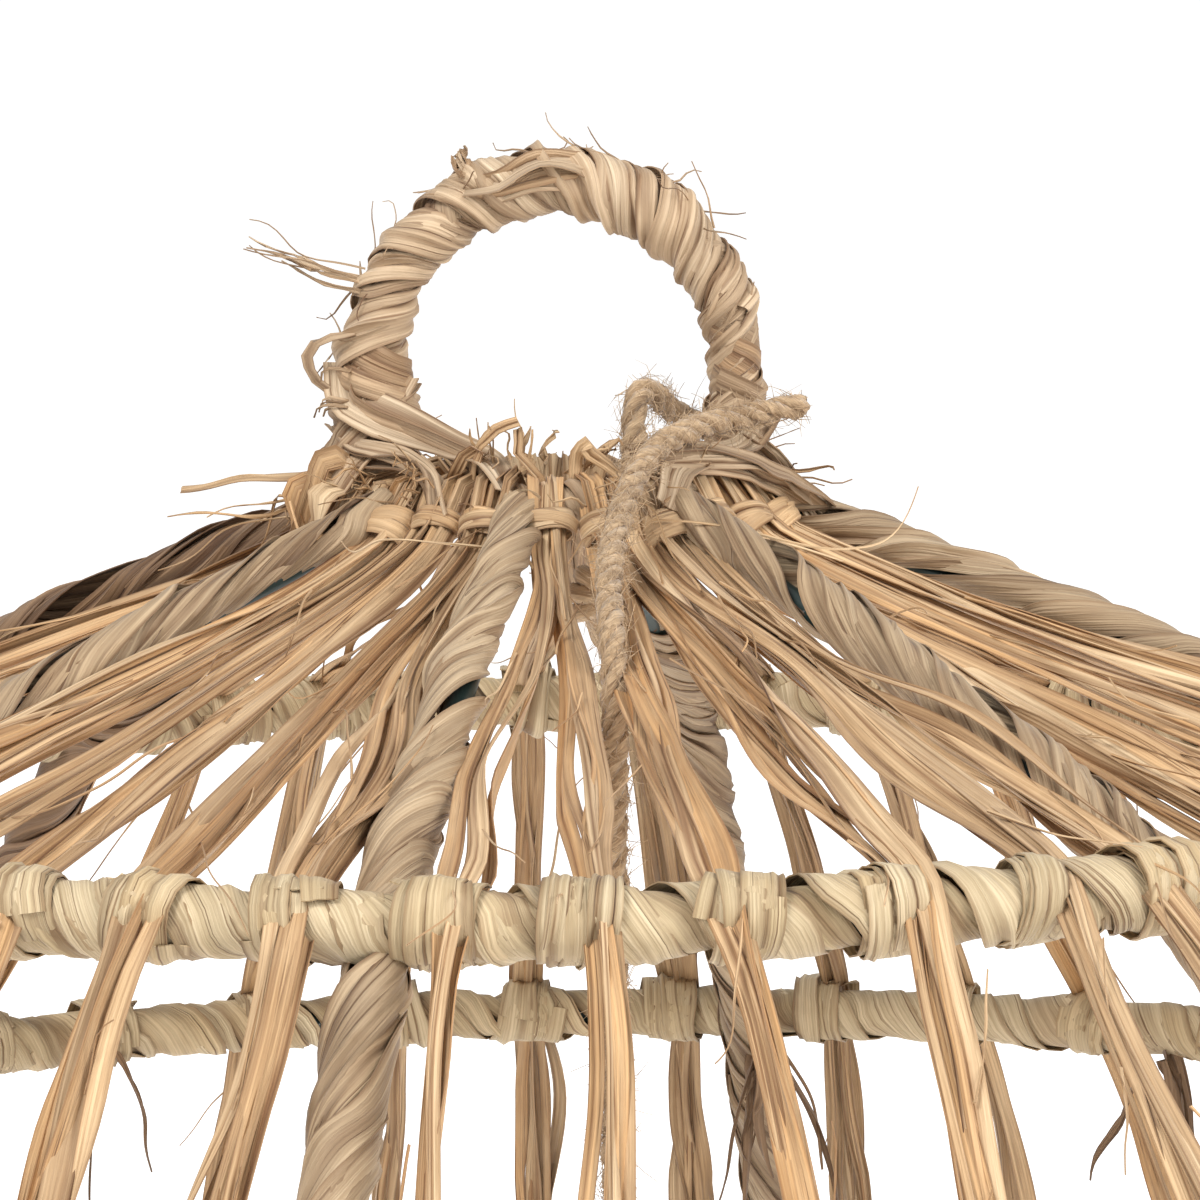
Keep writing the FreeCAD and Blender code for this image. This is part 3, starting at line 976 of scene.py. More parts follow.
@dataclass
class HangingRing:
    """The wrapped upright ring, its foot lashings and the ribbons tied on them.

    A ribbon has its places in millimetres from the collar's middle, its number of strips and their width.
    """

    skeleton: Skeleton
    body: Winding = field(default_factory=lambda: Winding(
        4.3, 17.0, 4, 6.6, lift=1.15, pleat=0.62, lump=0.45, columns=15, folds=7,
        profile=(1.1, 0.8, 0.3, 0.1, 0.2, 0.1, 0.3, -0.1, -0.5, -1.1, -0.5)))
    under: Winding = field(default_factory=lambda: Winding(
        3.7, 13.0, 2, 9.5, lift=0.4, pleat=0.2, lump=0.1, samples=18, columns=7, wind=Wind.LEFT))
    lashing: Winding = field(default_factory=lambda: Winding(
        5.9, 13.0, 2, 7.0, lift=0.9, pleat=0.45, wind=Wind.LEFT))
    ties: dict[str, list] = field(default_factory=lambda: {
        "left": [
            ([(-35, 1, 22), (-34, -6, 16), (-27, -9, 13), (-19, -17, 9.5), (-11, -27, 6.8),
              (-8, -33, 1)], 3, 6.0),
            ([(-25, -2, 20), (-28, -7, 15), (-33, -9, 9), (-37, -8, 4), (-40, -8, -3)], 3, 5.5),
            ([(-24, 2, 14), (-27, -7, 10), (-32, -12, 6), (-36, -13, 0), (-39, -13, -6)], 3, 5.0),
            ([(-37, 0, 11), (-33, -9, 8), (-25, -18, 7), (-20, -27, 4.5), (-18, -33, -2)], 3, 5.0),
        ],
        "top": [
            ([(-16, -2, 50), (-12, -5, 51.5), (-5, -5.8, 53.5), (2, -5.4, 54.5), (6, -3, 54.5)], 3, 4.6),
            ([(-14, -3.5, 48), (-9, -6, 49.5), (-2, -6, 51), (3, -4.6, 51)], 1, 2.4),
            ([(-33, -4, 27), (-38, -5, 25.5), (-39, -5, 20), (-36.5, -5, 14), (-33, -4, 11)], 1, 2.2),
        ],
        "right": [
            ([(25, -1, 13), (31, -6, 10), (36, -7, 6), (39, -8, 1), (43, -9, -4)], 2, 5.0),
            ([(35, 1, 12), (31, -8, 8), (25, -17, 7), (19, -27, 5), (17, -33, -1)], 3, 5.0),
            ([(12, -30, 6.5), (18, -28, 7.3), (25, -23, 7), (32, -16, 6), (38, -11, 3),
              (44, -8, -3)], 5, 3.6),
        ],
    })

    def build(self) -> None:
        """Builds every piece of the ring."""
        route = self.skeleton.ring_route()
        pile = LeafPile("ring_leaf_wrap", np.random.default_rng(11))
        self.under.wrap(pile, route, 3.0, route.length - 3.0, tone=0.15)
        self.body.wrap(pile, route, 3.0, route.length - 3.0)
        lay_ribbons(pile, self.ties["top"], self.skeleton.collar[1])
        pile.finish(RING_LEAF, 0.22, "hanging_ring_wrap")
        for name, begin, end, radius, seed in (
            ("left", 3.0, 15.0, 6.1, 21),
            ("right", route.length - 9.0, route.length - 2.0, 4.9, 22),
        ):
            pile = LeafPile(f"ring_foot_ties_{name}", np.random.default_rng(seed))
            self.lashing.radius = radius
            self.lashing.wrap(pile, route, begin, end)
            lay_ribbons(pile, self.ties[name], self.skeleton.collar[1])
            pile.finish(RING_LEAF, 0.25, f"ring_foot_lashing_{name}")


@dataclass
class CollarWrap:
    """The leaf wound round the collar wire."""

    skeleton: Skeleton
    body: Winding = field(default_factory=lambda: Winding(
        3.3, 9.0, 2, 5.5, lift=0.4, pleat=0.25, samples=18, columns=8))

    def build(self) -> None:
        """Builds the collar's wrap."""
        route = circle_route(*self.skeleton.collar)
        pile = LeafPile("collar_leaf_wrap", np.random.default_rng(31))
        self.body.wrap(pile, route, 0.0, route.length)
        pile.finish(RING_LEAF, 0.2, "collar_wrap")


@dataclass
class Spokes:
    """The wrapped spokes, greyer than the strands, of which some are dark."""

    skeleton: Skeleton
    body: Winding = field(default_factory=lambda: Winding(
        3.6, 58.0, 6, 6.4, lift=1.0, pleat=0.5, lump=0.25, samples=30, columns=9,
        profile=(-0.6, 0.1, 0.7, 0.5, 0.3, 0.1)))
    dark: tuple[int, ...] = (5, 6)
    left_wound: tuple[int, ...] = (0, 1, 5)

    def build(self) -> None:
        """Builds one wrap for each spoke."""
        for index in range(SPOKE_COUNT):
            route = self.skeleton.spoke_route(index)
            pile = LeafPile(f"spoke_leaf_wrap_{index + 1}", np.random.default_rng(40 + index))
            self.body.wind = Wind.LEFT if index in self.left_wound else Wind.RIGHT
            self.body.wrap(pile, route, 6.0, route.length)
            finish = DARK_LEAF if index in self.dark else SPOKE_LEAF
            pile.finish(finish, 0.22, f"spoke_wrap_{index + 1}")


@dataclass
class Hoops:
    """The wrapped hoops and the turns that tie the strands to them."""

    skeleton: Skeleton
    body: Winding = field(default_factory=lambda: Winding(
        4.4, 19.0, 2, 12.0, lift=0.9, pleat=0.5, lump=0.3))
    tie: Winding = field(default_factory=lambda: Winding(
        5.9, 5.0, 1, 5.6, lift=0.7, pleat=0.45, lump=0.1, folds=4, swell_at=-0.87))
    fineness: dict[str, tuple[int, int]] = field(
        default_factory=lambda: {"hoop_1": (17, 9), "hoop_2": (12, 7), "rim": (12, 7)})
    proud: dict[str, float] = field(default_factory=lambda: {"hoop_1": 1.3, "hoop_2": 2.0, "rim": 2.0})
    tie_radius: float = 4.9

    def build(self) -> None:
        """Builds the wraps and ties of the three hoops."""
        for order, (name, (radius, height)) in enumerate(self.skeleton.hoops.items()):
            route = circle_route(radius, height)
            for winding in (self.body, self.tie):
                winding.samples, winding.columns = self.fineness[name]
            pile = LeafPile(f"{name}_leaf_wrap", np.random.default_rng(60 + order))
            self.body.wrap(pile, route, 0.0, route.length)
            pile.finish(HOOP_LEAF, 0.25, f"{name}_wrap")
            pile = LeafPile(f"{name}_knots", np.random.default_rng(70 + order))
            for leg in range(2 * PAIR_COUNT):
                azimuth = SPOKE_TURN + (leg + 0.5) * LEG_STEP
                self.knot(pile, route, (azimuth % TURN) * radius, name)
            pile.finish(HOOP_LEAF, 0.25, f"{name}_turns")

    def knot(self, pile: LeafPile, route: Route, place: float, name: str) -> None:
        """Ties one strand to a hoop.

        Args:
            pile: where the strips go.
            route: middle line of the hoop.
            place: where the strand crosses, along the hoop.
            name: of the hoop.
        """
        rng = pile.rng
        lumps = np.zeros(4)
        self.tie.wind = Wind.LEFT if rng.random() < 0.5 else Wind.RIGHT
        side = rng.choice([-1, 1])
        for layer in range(3):
            self.tie.radius = self.tie_radius + 0.35 * layer
            self.tie.swell = self.proud[name] + 0.2 * layer
            self.tie.pitch = rng.uniform(1.5, 7.0)
            self.tie.width = rng.uniform(4.5, 8.0)
            turns = rng.uniform(1.0, 1.7)
            start = place + side * rng.uniform(-1.5, 3.5) - self.tie.pitch * turns / 2
            self.tie.strip(pile, route, start, turns, rng.uniform(0, TURN), lumps, (0.0, route.length))


@dataclass
class Strands:
    """Leaf bundles folded over the collar in pairs of legs that run to the rim.

    A leg goes over the collar on an arc from behind it, leaves it on a short run-off, sags a little on
    its way to the first hoop and goes over each hoop on a shorter arc. Arcs are in degrees, counted up
    from the level way out.
    """

    skeleton: Skeleton
    leg: Bundle = field(default_factory=Bundle)
    over: float = 5.0
    outside: dict[str, float] = field(default_factory=lambda: {"hoop_1": 4.4, "hoop_2": 6.2, "rim": 6.2})
    fold_arc: tuple[int, int, int] = (215, 5, 16)
    run_off: tuple[tuple[float, float], ...] = ((6.9, 3.4), (9.6, 5.8), (13.5, 7.6))
    hoop_arc: tuple[float, ...] = (64, 45, 22)
    rim_end: tuple[float, float] = (5.5, 2.0)
    sag: float = 1.6
    bulge: float = 1.0
    fork: float = 0.045
    spoke_room: float = 8.8
    widest_turn: float = 0.115
    gathers: tuple[float, ...] = (
        1.1, 0.62, 0.8, 1.1, 1.3, 1.4, 1.25, 0.9, 1.0, 1.3, 1.35, 1.0, 1.0, 1.3, 1.25, 0.9)

    def clear(self, azimuth: float, distance: float) -> float:
        """Moves a place away from the nearest spoke, so that a leg passes beside it.

        Args:
            azimuth: of the place, in radians.
            distance: of the place from the axis.

        Returns:
            The azimuth that clears the spoke.
        """
        step = TURN / SPOKE_COUNT
        nearest = SPOKE_TURN + step * round((azimuth - SPOKE_TURN) / step)
        off = azimuth - nearest
        room = min(self.spoke_room / distance, self.widest_turn)
        return nearest + math.copysign(max(abs(off), room), off)

    def stations(self, collar_azimuth: float, azimuths: list[float]) -> Route:
        """Draws the middle line of one leg.

        Args:
            collar_azimuth: where it crosses the collar, in radians.
            azimuths: where it crosses each hoop.

        Returns:
            The line, from behind the collar to the rim.
        """
        radius, height = self.skeleton.collar
        places = []
        bearings = []
        for angle in np.radians(np.linspace(*self.fold_arc)):
            places.append((radius + self.over * math.cos(angle), height + self.over * math.sin(angle)))
            bearings.append(collar_azimuth)
        for reach, drop in self.run_off:
            places.append((radius + reach, height - drop))
            bearings.append(collar_azimuth)
        previous, bearing = places[-1], collar_azimuth
        for (name, (hoop_radius, hoop_height)), azimuth in zip(self.skeleton.hoops.items(), azimuths):
            reach = self.outside[name]
            target = [
                (hoop_radius + reach * math.cos(angle), hoop_height + reach * math.sin(angle))
                for angle in np.radians(self.hoop_arc)
            ]
            sag = self.sag if name == "hoop_1" else -self.bulge
            for share in (0.08, 0.2, 0.35, 0.5, 0.65, 0.8, 0.92):
                drop = sag * math.sin(math.pi * share**0.7)
                distance = previous[0] + (target[0][0] - previous[0]) * share - OUT_ACROSS * drop
                level = previous[1] + (target[0][1] - previous[1]) * share - OUT_UP * drop
                places.append((distance, level))
                bearings.append(self.clear(bearing + (azimuth - bearing) * share**0.6, distance))
            places += target
            bearings += [azimuth] * len(target)
            previous, bearing = target[-1], azimuth
        rim_radius, rim_height = self.skeleton.hoops["rim"]
        places.append((rim_radius + self.rim_end[0], rim_height - self.rim_end[1]))
        bearings.append(azimuths[-1])
        return radial_route(places, np.array(bearings))

    def build(self) -> None:
        """Builds one piece for each folded bundle: two legs and the band that ties them."""
        for pair in range(PAIR_COUNT):
            pile = LeafPile(f"strand_bundle_{pair + 1:02d}", np.random.default_rng(100 + pair))
            rng = pile.rng
            centre = SPOKE_TURN + (2 * pair + 1) * LEG_STEP
            warm = rng.uniform(0.1, 0.75)
            for sign in (-1, 1):
                leg_azimuth = centre + sign * LEG_STEP / 2
                azimuths = [leg_azimuth + rng.normal(0, 0.010) for _ in self.skeleton.hoops]
                route = self.stations(centre + sign * self.fork, azimuths)
                gather = np.array(self.gathers) * rng.uniform(0.8, 1.1, len(self.gathers))
                self.leg.strips = int(rng.integers(5, 9))
                self.leg.lay(pile, route, 0.0, route.length, gather, warm)
                self.hairs(pile, route)
            self.band(pile, centre)
            pile.finish(STRAND_LEAF, 0.2, f"strand_pair_{pair + 1:02d}")

    def hairs(self, pile: LeafPile, route: Route) -> None:
        """Adds the thin fibres that have split off a leg.

        Args:
            pile: where they go.
            route: middle line of the leg.
        """
        rng = pile.rng
        for _ in range(7):
            place = rng.uniform(26, route.length * 0.8)
            point, across, out = route.at(np.array([place]))
            along = route.at(np.array([place + 2.0]))[0] - point
            heading = unit(along * rng.choice([1, 1, -1]))[0]
            heading = heading + across[0] * rng.normal(0, 0.3) + out[0] * 0.10
            start = point[0] + across[0] * rng.normal(0, 2.0) + out[0] * 1.4
            Fibre(rng.uniform(12, 45), rng.uniform(0.22, 0.5), 0.35, 0.15).grow(pile, start, heading)

    def band(self, pile: LeafPile, azimuth: float) -> None:
        """Ties the band of a lark's head across a pair's two legs.

        Args:
            pile: where the strips go.
            azimuth: of the pair.
        """
        rng = pile.rng
        radius, height = self.skeleton.collar
        down = unit(np.array([math.sin(azimuth), -math.cos(azimuth), -1.15]))
        across = np.array([math.cos(azimuth), math.sin(azimuth), 0.0])
        out = np.cross(across, down)
        out = out if out[2] > 0 else -out
        start = np.array([radius * math.sin(azimuth), -radius * math.cos(azimuth), height])
        rows, columns = 38, 9
        column = np.linspace(-0.5, 0.5, columns)
        shift, lean = rng.uniform(6.6, 8.4), rng.normal(0, 0.2)
        for layer in range(int(rng.integers(2, 5))):
            angle = np.linspace(0, TURN * rng.uniform(0.95, 1.15), rows) + rng.uniform(0, TURN)
            line = start + down * (shift + rng.uniform(-1.1, 1.1)) + out * 3.1
            tilt = lean + rng.normal(0, 0.16)
            a, b = 3.9 + 0.26 * layer, 2.4 + 0.35 * layer
            line = line + np.outer(a * np.cos(angle), across + tilt * down) + np.outer(b * np.sin(angle), out)
            normal = unit(np.outer(np.cos(angle) * b, across) + np.outer(np.sin(angle) * a, out))
            width = rng.uniform(2.4, 4.2)
            rise, crease = pleats(rng, rows, columns, 0.3, 4)
            bow = 0.4 - 1.6 * column[None, :] ** 2 + rise
            grid = line[:, None] + (column * width)[None, :, None] * down + bow[..., None] * normal[:, None]
            pile.add(grid, width, crease)


@dataclass
class LooseEnds:
    """Tails, tufts and frayed fibres that stand out of the ties, in millimetres.

    Places are measured from the collar's middle. A tail is a ribbon. A tuft has a place, a direction, a
    number of fibres, their length and their width. A thread has a place and a direction. A fray has a
    distance to the right of the axis and a number of fibres.
    """

    skeleton: Skeleton
    tails: tuple = (
        ([(-3, -29, 1), (-3.4, -31, 6), (-4.0, -30.5, 10), (-5.0, -30, 13)], 1, 4.5),
        ([(3, -28, 2), (2.6, -30, 9), (5, -31, 12), (8, -30, 9), (11, -29, 4)], 1, 3.4),
        ([(-14, -26, 3), (-13, -28, 9), (-9, -29, 13), (-6, -29, 14)], 1, 2.4),
        ([(-17, -25, 3), (-15, -28, 8), (-12, -30, 10), (-13, -30, 7)], 1, 2.0),
        ([(-31, -9, 5), (-36, -13, 5), (-41, -13, 1), (-43, -10, -5)], 2, 5.0),
        ([(-33, -11, 2), (-38, -15, 2), (-41, -16, -4), (-39, -16, -9)], 1, 4.5),
        ([(-34, -5, 4), (-44, -6, 4), (-54, -3, 3), (-62, 0, 2.5)], 1, 1.8),
    )

    tufts: tuple = (
        (-3.7, -27.0, 4.5, (0.1, -0.1, 1.0), 5, 8.0, 1.6),
        (4.0, -27.0, 4.5, (0.6, -0.1, 0.7), 5, 9.0, 2.0),
        (-10.0, -26.0, 5.0, (-0.2, -0.2, 1.0), 10, 10.0, 0.6),
        (-33.0, -6.0, 1.0, (-1.0, -0.3, -0.1), 12, 11.0, 1.8),
        (-36.0, -4.0, 0.0, (-1.0, 0.0, -0.15), 8, 26.0, 0.8),
        (-29.0, -12.0, 2.0, (-0.6, -0.5, 0.4), 8, 10.0, 0.5),
        (-20.0, -22.0, 4.0, (-0.5, -0.4, 0.6), 10, 12.0, 0.5),
        (20.0, -22.0, 4.0, (0.5, -0.3, 0.5), 8, 10.0, 0.6),
        (31.0, -8.0, 3.0, (1.0, -0.2, 0.1), 6, 14.0, 0.8),
    )
    threads: tuple = (
        (-44, -14, 2, (0.25, -0.5, -1.0)),
        (-25, -30, -4, (0.3, -0.9, -0.7)),
        (-8, -40, -6, (-0.9, -0.4, 0.1)),
        (14, -36, -2, (0.9, -0.3, 0.0)),
        (30, -30, -4, (0.5, -0.6, -0.4)),
    )
    frays: tuple = ((40.0, 12), (-95.0, 4), (120.0, 5))

    def build(self) -> None:
        """Builds the loose ends of the ring, the collar and the far side of the second hoop."""
        self.ring(LeafPile("ring_loose_ends", np.random.default_rng(501)))
        self.collar(LeafPile("collar_loose_ends", np.random.default_rng(502)))
        self.far_hoop(LeafPile("hoop_2_hanging_frays", np.random.default_rng(503)))

    def ring(self, pile: LeafPile) -> None:
        """Grows the fibres of the ring: a spray, shreds, a tuft on top and single hairs.

        Args:
            pile: where they go.
        """
        rng = pile.rng
        height = self.skeleton.collar[1]
        for _ in range(7):
            start = np.array([-29.5, -2.5, height + 36.5]) + rng.normal(0, 1.2, 3)
            fibre = Fibre(rng.uniform(14, 27), rng.uniform(0.3, 0.9), 0.4, -0.05)
            fibre.grow(pile, start, (-1, -0.1, 0.3), tone=0.8)
        for _ in range(5):
            start = np.array([-34.5, -3.0, height + rng.uniform(16, 27)])
            fibre = Fibre(rng.uniform(8, 16), rng.uniform(0.4, 1.2), 0.3, 0.1, 0.8)
            fibre.grow(pile, start, (-0.6, -0.3, -0.6))
        for _ in range(9):
            start = np.array([-14.0, -1.0, height + 53.0]) + rng.normal(0, 0.7, 3)
            Fibre(rng.uniform(3, 6), rng.uniform(0.8, 2.2), 0.6, 0.2).grow(pile, start, (-0.4, -0.3, 0.8))
        for _ in range(26):
            angle = rng.uniform(0, math.pi)
            way = np.array([math.cos(angle), rng.normal(0, 0.7), math.sin(angle)])
            start = np.array([0, 0, height + 22.0]) + 30 * np.array([way[0], 0, way[2]]) + 4.6 * unit(way)
            around = np.array([-way[2], rng.normal(0, 0.5), way[0]]) * rng.choice([-1, 1])
            Fibre(rng.uniform(5, 14), rng.uniform(0.18, 0.4), 0.6, 0.1).grow(pile, start, around + 0.45 * way)
        pile.finish(RING_LEAF, 0.16)

    def collar(self, pile: LeafPile) -> None:
        """Grows the tufts, tails, hairs and long threads round the collar.

        Args:
            pile: where they go.
        """
        rng = pile.rng
        height = self.skeleton.collar[1]
        for x, y, z, way, count, length, width in self.tufts:
            for _ in range(count):
                start = np.array([x, y, height + z]) + rng.normal(0, 1.3, 3)
                curl = rng.choice([0.0, 0.0, 1.2, 1.8])
                fibre = Fibre(length * rng.uniform(0.5, 1.3), width * rng.uniform(0.4, 1.2), 0.55, 0.25, curl)
                fibre.grow(pile, start, way)
        lay_ribbons(pile, self.tails, height)
        for _ in range(45):
            azimuth = rng.uniform(0, TURN)
            sin, cos = math.sin(azimuth), math.cos(azimuth)
            way = np.array([sin, -cos, rng.uniform(0.0, 0.9)])
            start = np.array([30 * sin, -30 * cos, height]) + 5.0 * unit(way)
            around = np.array([cos, sin, 0]) * rng.normal(0, 0.8)
            Fibre(rng.uniform(4, 16), rng.uniform(0.18, 0.55), 0.7, 0.2).grow(pile, start, way + around)
        for x, y, z, way in self.threads:
            Fibre(rng.uniform(38, 60), 0.45, 0.7, 0.3).grow(pile, (x, y, height + z), way, tone=0.9)
        pile.finish(STRAND_LEAF, 0.16)

    def far_hoop(self, pile: LeafPile) -> None:
        """Hangs frayed ends from the far side of the second hoop.

        Args:
            pile: where they go.
        """
        rng = pile.rng
        radius, height = self.skeleton.hoops["hoop_2"]
        for x, count in self.frays:
            y = math.sqrt(radius**2 - x * x) - 5.0
            for _ in range(count):
                start = np.array([x, y, height - 3.0]) + rng.normal(0, 1.2, 3)
                fibre = Fibre(rng.uniform(14, 44), rng.uniform(0.6, 3.0), 0.35, 0.6)
                fibre.grow(pile, start, (rng.normal(0, 0.3), -0.2, -1.0))
        pile.finish(DARK_LEAF, 0.18)


@dataclass
class Twine:
    """Fuzzy jute twine: three twisted plies along a route, and loose hairs, in millimetres."""

    name: str
    route: list[tuple[float, float, float]]
    seed: int
    diameter: float = 4.3
    lay: float = 13.0
    plies: int = 3
    step: float = 0.7
    hairs: int = 1900

    def line(self) -> np.ndarray:
        """Draws the twine's smooth middle line.

        Returns:
            Points along it, in metres.
        """
        curve = bpy.data.curves.new(f"{self.name}_line", "CURVE")
        curve.dimensions = "3D"
        spline = curve.splines.new("NURBS")
        spline.points.add(len(self.route) - 1)
        for point, place in zip(spline.points, self.route):
            point.co = (*place, 1.0)
        spline.order_u = 3
        spline.use_endpoint_u = True
        spline.resolution_u = 16
        holder = bpy.data.objects.new(curve.name, curve)
        bpy.context.scene.collection.objects.link(holder)
        bpy.context.view_layer.update()
        mesh = bpy.data.meshes.new_from_object(holder.evaluated_get(bpy.context.evaluated_depsgraph_get()))
        points = np.array([vertex.co[:] for vertex in mesh.vertices])
        bpy.data.objects.remove(holder)
        bpy.data.meshes.remove(mesh)
        return points

    def build(
        self, exit_place: tuple[float, float, float], extras: list[bpy.types.Object], node: str
    ) -> None:
        """Args:
            exit_place: not used.
            extras: not used.
            node: CAD node that it stands for.
        """
        points = self.line()
        places = np.concatenate([[0.0], np.cumsum(np.linalg.norm(np.diff(points, axis=0), axis=1))])
        length = float(places[-1])
        count = max(40, int(length / MM / self.step))
        even = np.linspace(0, length, count)
        line = np.stack([np.interp(even, places, points[:, k]) for k in range(3)], -1) / MM
        along = unit(np.gradient(line, axis=0))
        across = np.zeros_like(along)
        side = np.cross(along[0], [0.0, 0.0, 1.0])
        for index, heading in enumerate(along):
            side = unit(side - heading * np.dot(side, heading))
            across[index] = side
        route = Route(line, across)
        pile = LeafPile(self.name, np.random.default_rng(self.seed))
        for strand in range(self.plies):
            self.ply(pile, route, np.linspace(0, route.length, count), strand)
        piece = pile.finish(Jute(), 0.06, node)
        fuzz = self.fuzz(route)
        log.info("%s: %.0f mm long", self.name, length / MM)

    def ply(self, pile: LeafPile, route: Route, place: np.ndarray, strand: int) -> None:
        """Makes one ply, which winds round the twine's middle line and has a ragged skin.

        Args:
            pile: where it goes.
            route: the twine's middle line.
            place: distances along it.
            strand: which ply it is.
        """
        rng = pile.rng
        count = len(place)
        ring = np.linspace(0, TURN, 11)
        thickness = self.diameter * 0.27
        phase = TURN * (place / self.lay + strand / self.plies)
        centre = route.on_tube(place, phase, np.full(count, self.diameter * 0.235))
        heading = unit(np.gradient(centre, axis=0))
        flat = unit(np.cross(heading, route.at(place)[2]))
        up = np.cross(heading, flat)
        size = thickness * (1 + wander(rng, count, count // 6, 0.09))
        size = size * np.minimum(1, 0.35 + np.minimum(place, route.length - place) / 1.5)
        turn = (ring[None, :] + 1.6 * phase[:, None])[..., None]
        circle = flat[:, None] * np.cos(turn) + up[:, None] * np.sin(turn)
        ragged = 1 + 0.10 * rng.normal(0, 1, (count, len(ring)))
        ragged[:, -1] = ragged[:, 0]
        pile.add(centre[:, None] + circle * (size[:, None] * ragged)[..., None], TURN * thickness)

    def fuzz(self, route: Route) -> bpy.types.Object:
        """Makes the loose hairs that stand out of the twine.

        Args:
            route: the twine's middle line.

        Returns:
            The hairs, as one piece.
        """
        rng = np.random.default_rng(self.seed + 1)
        pile = LeafPile(f"{self.name}_fuzz", rng)
        share = np.linspace(0, 1, 4)
        thin = 0.07 * (1 - 0.7 * share)
        for _ in range(self.hairs):
            place = rng.uniform(0, route.length)
            angle = rng.uniform(0, TURN)
            lie = rng.normal(0, 3.0)
            reach = rng.uniform(0.4, 1.6) + rng.exponential(0.8)
            radius = self.diameter * 0.42 + reach * share**1.4
            places = np.clip(place + lie * share, 0, route.length)
            angles = angle + rng.normal(0, 0.9) * share
            middle = route.on_tube(places, angles, radius)
            edge = np.outer(thin, unit(rng.normal(0, 1, 3)))
            pile.add(np.stack([middle - edge, middle + edge], 1), 0.2)
        return pile.finish(Jute(), 0.08)

    def knot(self, name: str, place: tuple[float, float, float], size: float, node: str) -> bpy.types.Object:
        """Makes a knot of the same twine: coils wound over each other.

        Args:
            name: of the piece.
            place: its middle, in millimetres.
            size: its outer diameter.
            node: CAD node that it stands for.

        Returns:
            The knot.
        """
        pile = LeafPile(name, np.random.default_rng(self.seed + 2))
        ring = np.linspace(0, TURN, 11)
        turn = np.linspace(0, TURN, 40)
        for coil in range(3):
            tilt = Matrix.Rotation(math.radians(25 * (coil - 1) + 8), 3, "Y")
            tilt = tilt @ Matrix.Rotation(coil * 0.9, 3, "Z")
            reach = size / 2 - self.diameter * 0.36
            path = np.stack([reach * np.cos(turn), reach * np.sin(turn), (coil - 1) * 1.9 + 0 * turn], -1)
            path = path @ np.array(tilt).T
            heading = unit(np.gradient(path, axis=0))
            heading[0] = heading[-1] = unit(path[1] - path[-2])
            out = unit(path)
            flat = unit(np.cross(heading, out))
            thick = self.diameter * 0.36 * (1 + 0.10 * np.outer(np.sin(turn * 9), np.cos(3 * ring)))
            circle = out[:, None] * np.cos(ring)[None, :, None] + flat[:, None] * np.sin(ring)[None, :, None]
            pile.add(np.array(place) + path[:, None] + circle * thick[..., None], TURN * 1.5)
        return pile.finish(Jute(), 0.06, node)


def build_twine() -> None:
    """Builds both free lengths of twine and their knots."""
    low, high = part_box("collar_wire")
    level = (low.z + high.z) / 2
    hung_places = [
        (0.0414, -0.0125, 0.0150), (0.0310, -0.0145, 0.0135), (0.0220, -0.0245, 0.0120),
        (0.0145, -0.0350, 0.0085), (0.0105, -0.0480, 0.0010), (0.0086, -0.0610, -0.0055),
        (0.0079, -0.0740, -0.0108), (0.0084, -0.0845, -0.0170), (0.0087, -0.0885, -0.0260),
        (0.0084, -0.0885, -0.0380), (0.0080, -0.0876, -0.0600), (0.0075, -0.0873, -0.0950),
        (0.0072, -0.0876, -0.1340),
    ]
    loop_places = [
        (0.0310, 0.0100, 0.0096), (0.0242, 0.0094, 0.0106), (0.0198, 0.0040, 0.0132),
        (0.0172, -0.0018, 0.0160), (0.0149, -0.0060, 0.0178), (0.0131, -0.0096, 0.0156),
        (0.0127, -0.0110, 0.0085), (0.0125, -0.0124, 0.0005), (0.0112, -0.0142, -0.0070),
        (0.0078, -0.0166, -0.0130),
    ]
    splice = (0.0060, -0.0172, -0.0155)
    hung_places, loop_places, (splice,) = (
        [(x, y, z + level) for x, y, z in places] for places in (hung_places, loop_places, [splice])
    )
    hanging = Twine("twine_cord", hung_places, 301)
    looped = Twine("twine_loop_cord", loop_places, 311, hairs=600)
    end_knot = hanging.knot(
        "twine_end_tie", tuple(value / MM for value in hung_places[-1]), 11.0, "twine_end_knot")
    splice_knot = looped.knot(
        "twine_splice_tie", tuple(value / MM for value in splice), 10.0, "twine_splice_knot")
    hanging.build(hung_places[1], [end_knot], "twine")
    looped.build(loop_places[0], [splice_knot], "twine_loop")


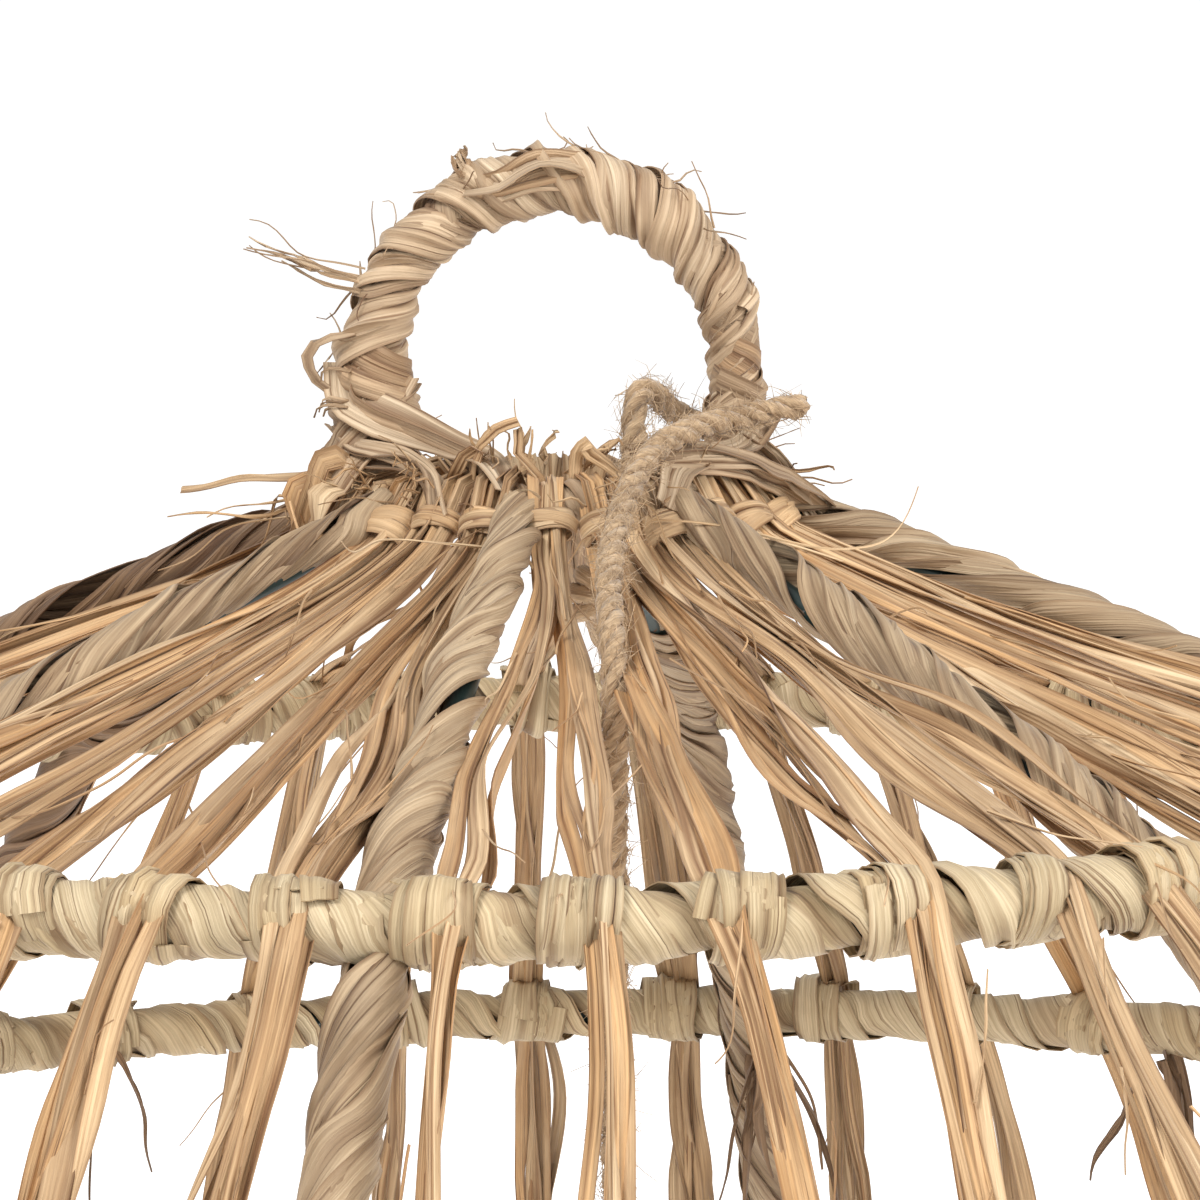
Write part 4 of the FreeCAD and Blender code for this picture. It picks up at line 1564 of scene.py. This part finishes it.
@dataclass
class Studio:
    """White floor and surround, soft light, and a long lens a little above the shade's collar."""

    focal: float = 167.0
    distance: float = 0.925
    rise: float = 0.055
    shift: float = 0.0031
    pitch: float = math.radians(4.49)
    yaw: float = math.radians(0.24)
    roll: float = math.radians(0.88)
    lit_place: Vector = field(default_factory=lambda: Vector((0, 0, 0.2)))

    def backdrop(self) -> None:
        """Makes the white floor."""
        bpy.ops.object.select_all(action="DESELECT")
        bpy.ops.mesh.primitive_plane_add(size=60, location=(0, 0, -0.001))
        floor = bpy.context.object
        floor.name = "studio_floor"
        material, _, shader = new_material("studio_white")
        shader["Base Color"].default_value = (0.93, 0.93, 0.93, 1)
        shader["Roughness"].default_value = 0.9
        shader["Emission Color"].default_value = (1, 1, 1, 1)
        shader["Emission Strength"].default_value = 0.55
        floor.data.materials.append(material)

    def light(self) -> None:
        """Adds a bright surround and two soft lamps."""
        world = bpy.data.worlds.new("studio")
        world.use_nodes = True
        desk = Desk(world.node_tree)
        surround = world.node_tree.nodes["Background"].inputs
        seen = desk.node("ShaderNodeLightPath").outputs["Is Camera Ray"]
        surround["Color"].default_value = (1, 1, 1, 1)
        desk.put(surround["Strength"], desk.math("ADD", desk.math("MULTIPLY", seen, 0.5), 0.55))
        bpy.context.scene.world = world
        bpy.context.scene.view_settings.view_transform = "Standard"
        for name, place, size, power in (
            ("key", (-0.9, -1.2, 1.9), 0.8, 35.0),
            ("fill", (1.4, -1.2, 1.1), 1.1, 26.0),
        ):
            bpy.ops.object.light_add(type="AREA", location=place)
            lamp = bpy.context.object
            lamp.name = name
            lamp.data.energy = power
            lamp.data.size = size
            lamp.rotation_euler = (self.lit_place - Vector(place)).to_track_quat("-Z", "Y").to_euler()

    def camera(self) -> None:
        """Places the camera by its distance, height and small turns."""
        low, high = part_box("collar_wire")
        level = (low.z + high.z) / 2
        cos_pitch, sin_pitch = math.cos(self.pitch), math.sin(self.pitch)
        ahead = Vector((math.sin(self.yaw) * cos_pitch, math.cos(self.yaw) * cos_pitch, -sin_pitch))
        right = Vector((math.cos(self.yaw), -math.sin(self.yaw), 0))
        down = ahead.cross(right)
        tilted = right * math.cos(self.roll) + down * math.sin(self.roll)
        up = -(down * math.cos(self.roll) - right * math.sin(self.roll))
        data = bpy.data.cameras.new("camera")
        data.lens = self.focal
        data.sensor_width = 36
        camera = bpy.data.objects.new("camera", data)
        bpy.context.scene.collection.objects.link(camera)
        turn = Matrix((tilted, up, -ahead)).transposed().to_4x4()
        camera.matrix_world = Matrix.Translation((self.shift, -self.distance, level + self.rise)) @ turn
        bpy.context.scene.camera = camera

    def build(self) -> None:
        """Sets the stage, the light and the camera."""
        self.backdrop()
        self.light()
        self.camera()


def dress_wires() -> None:
    """Paints every bare wire of the steel frame."""
    paint = PaintedWire().material()
    for name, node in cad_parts.items():
        if name.endswith("_wire") or name.startswith("spoke_wire"):
            node.data.materials.clear()
            node.data.materials.append(paint)


def main() -> None:
    """Builds the shade's looks piece by piece."""
    bpy.ops.object.select_all(action="DESELECT")
    Studio().build()
    skeleton = Skeleton()
    dress_wires()
    build_twine()
    HangingRing(skeleton).build()
    CollarWrap(skeleton).build()
    Spokes(skeleton).build()
    Hoops(skeleton).build()
    Strands(skeleton).build()
    LooseEnds(skeleton).build()


if __name__ == "__main__":
    main()
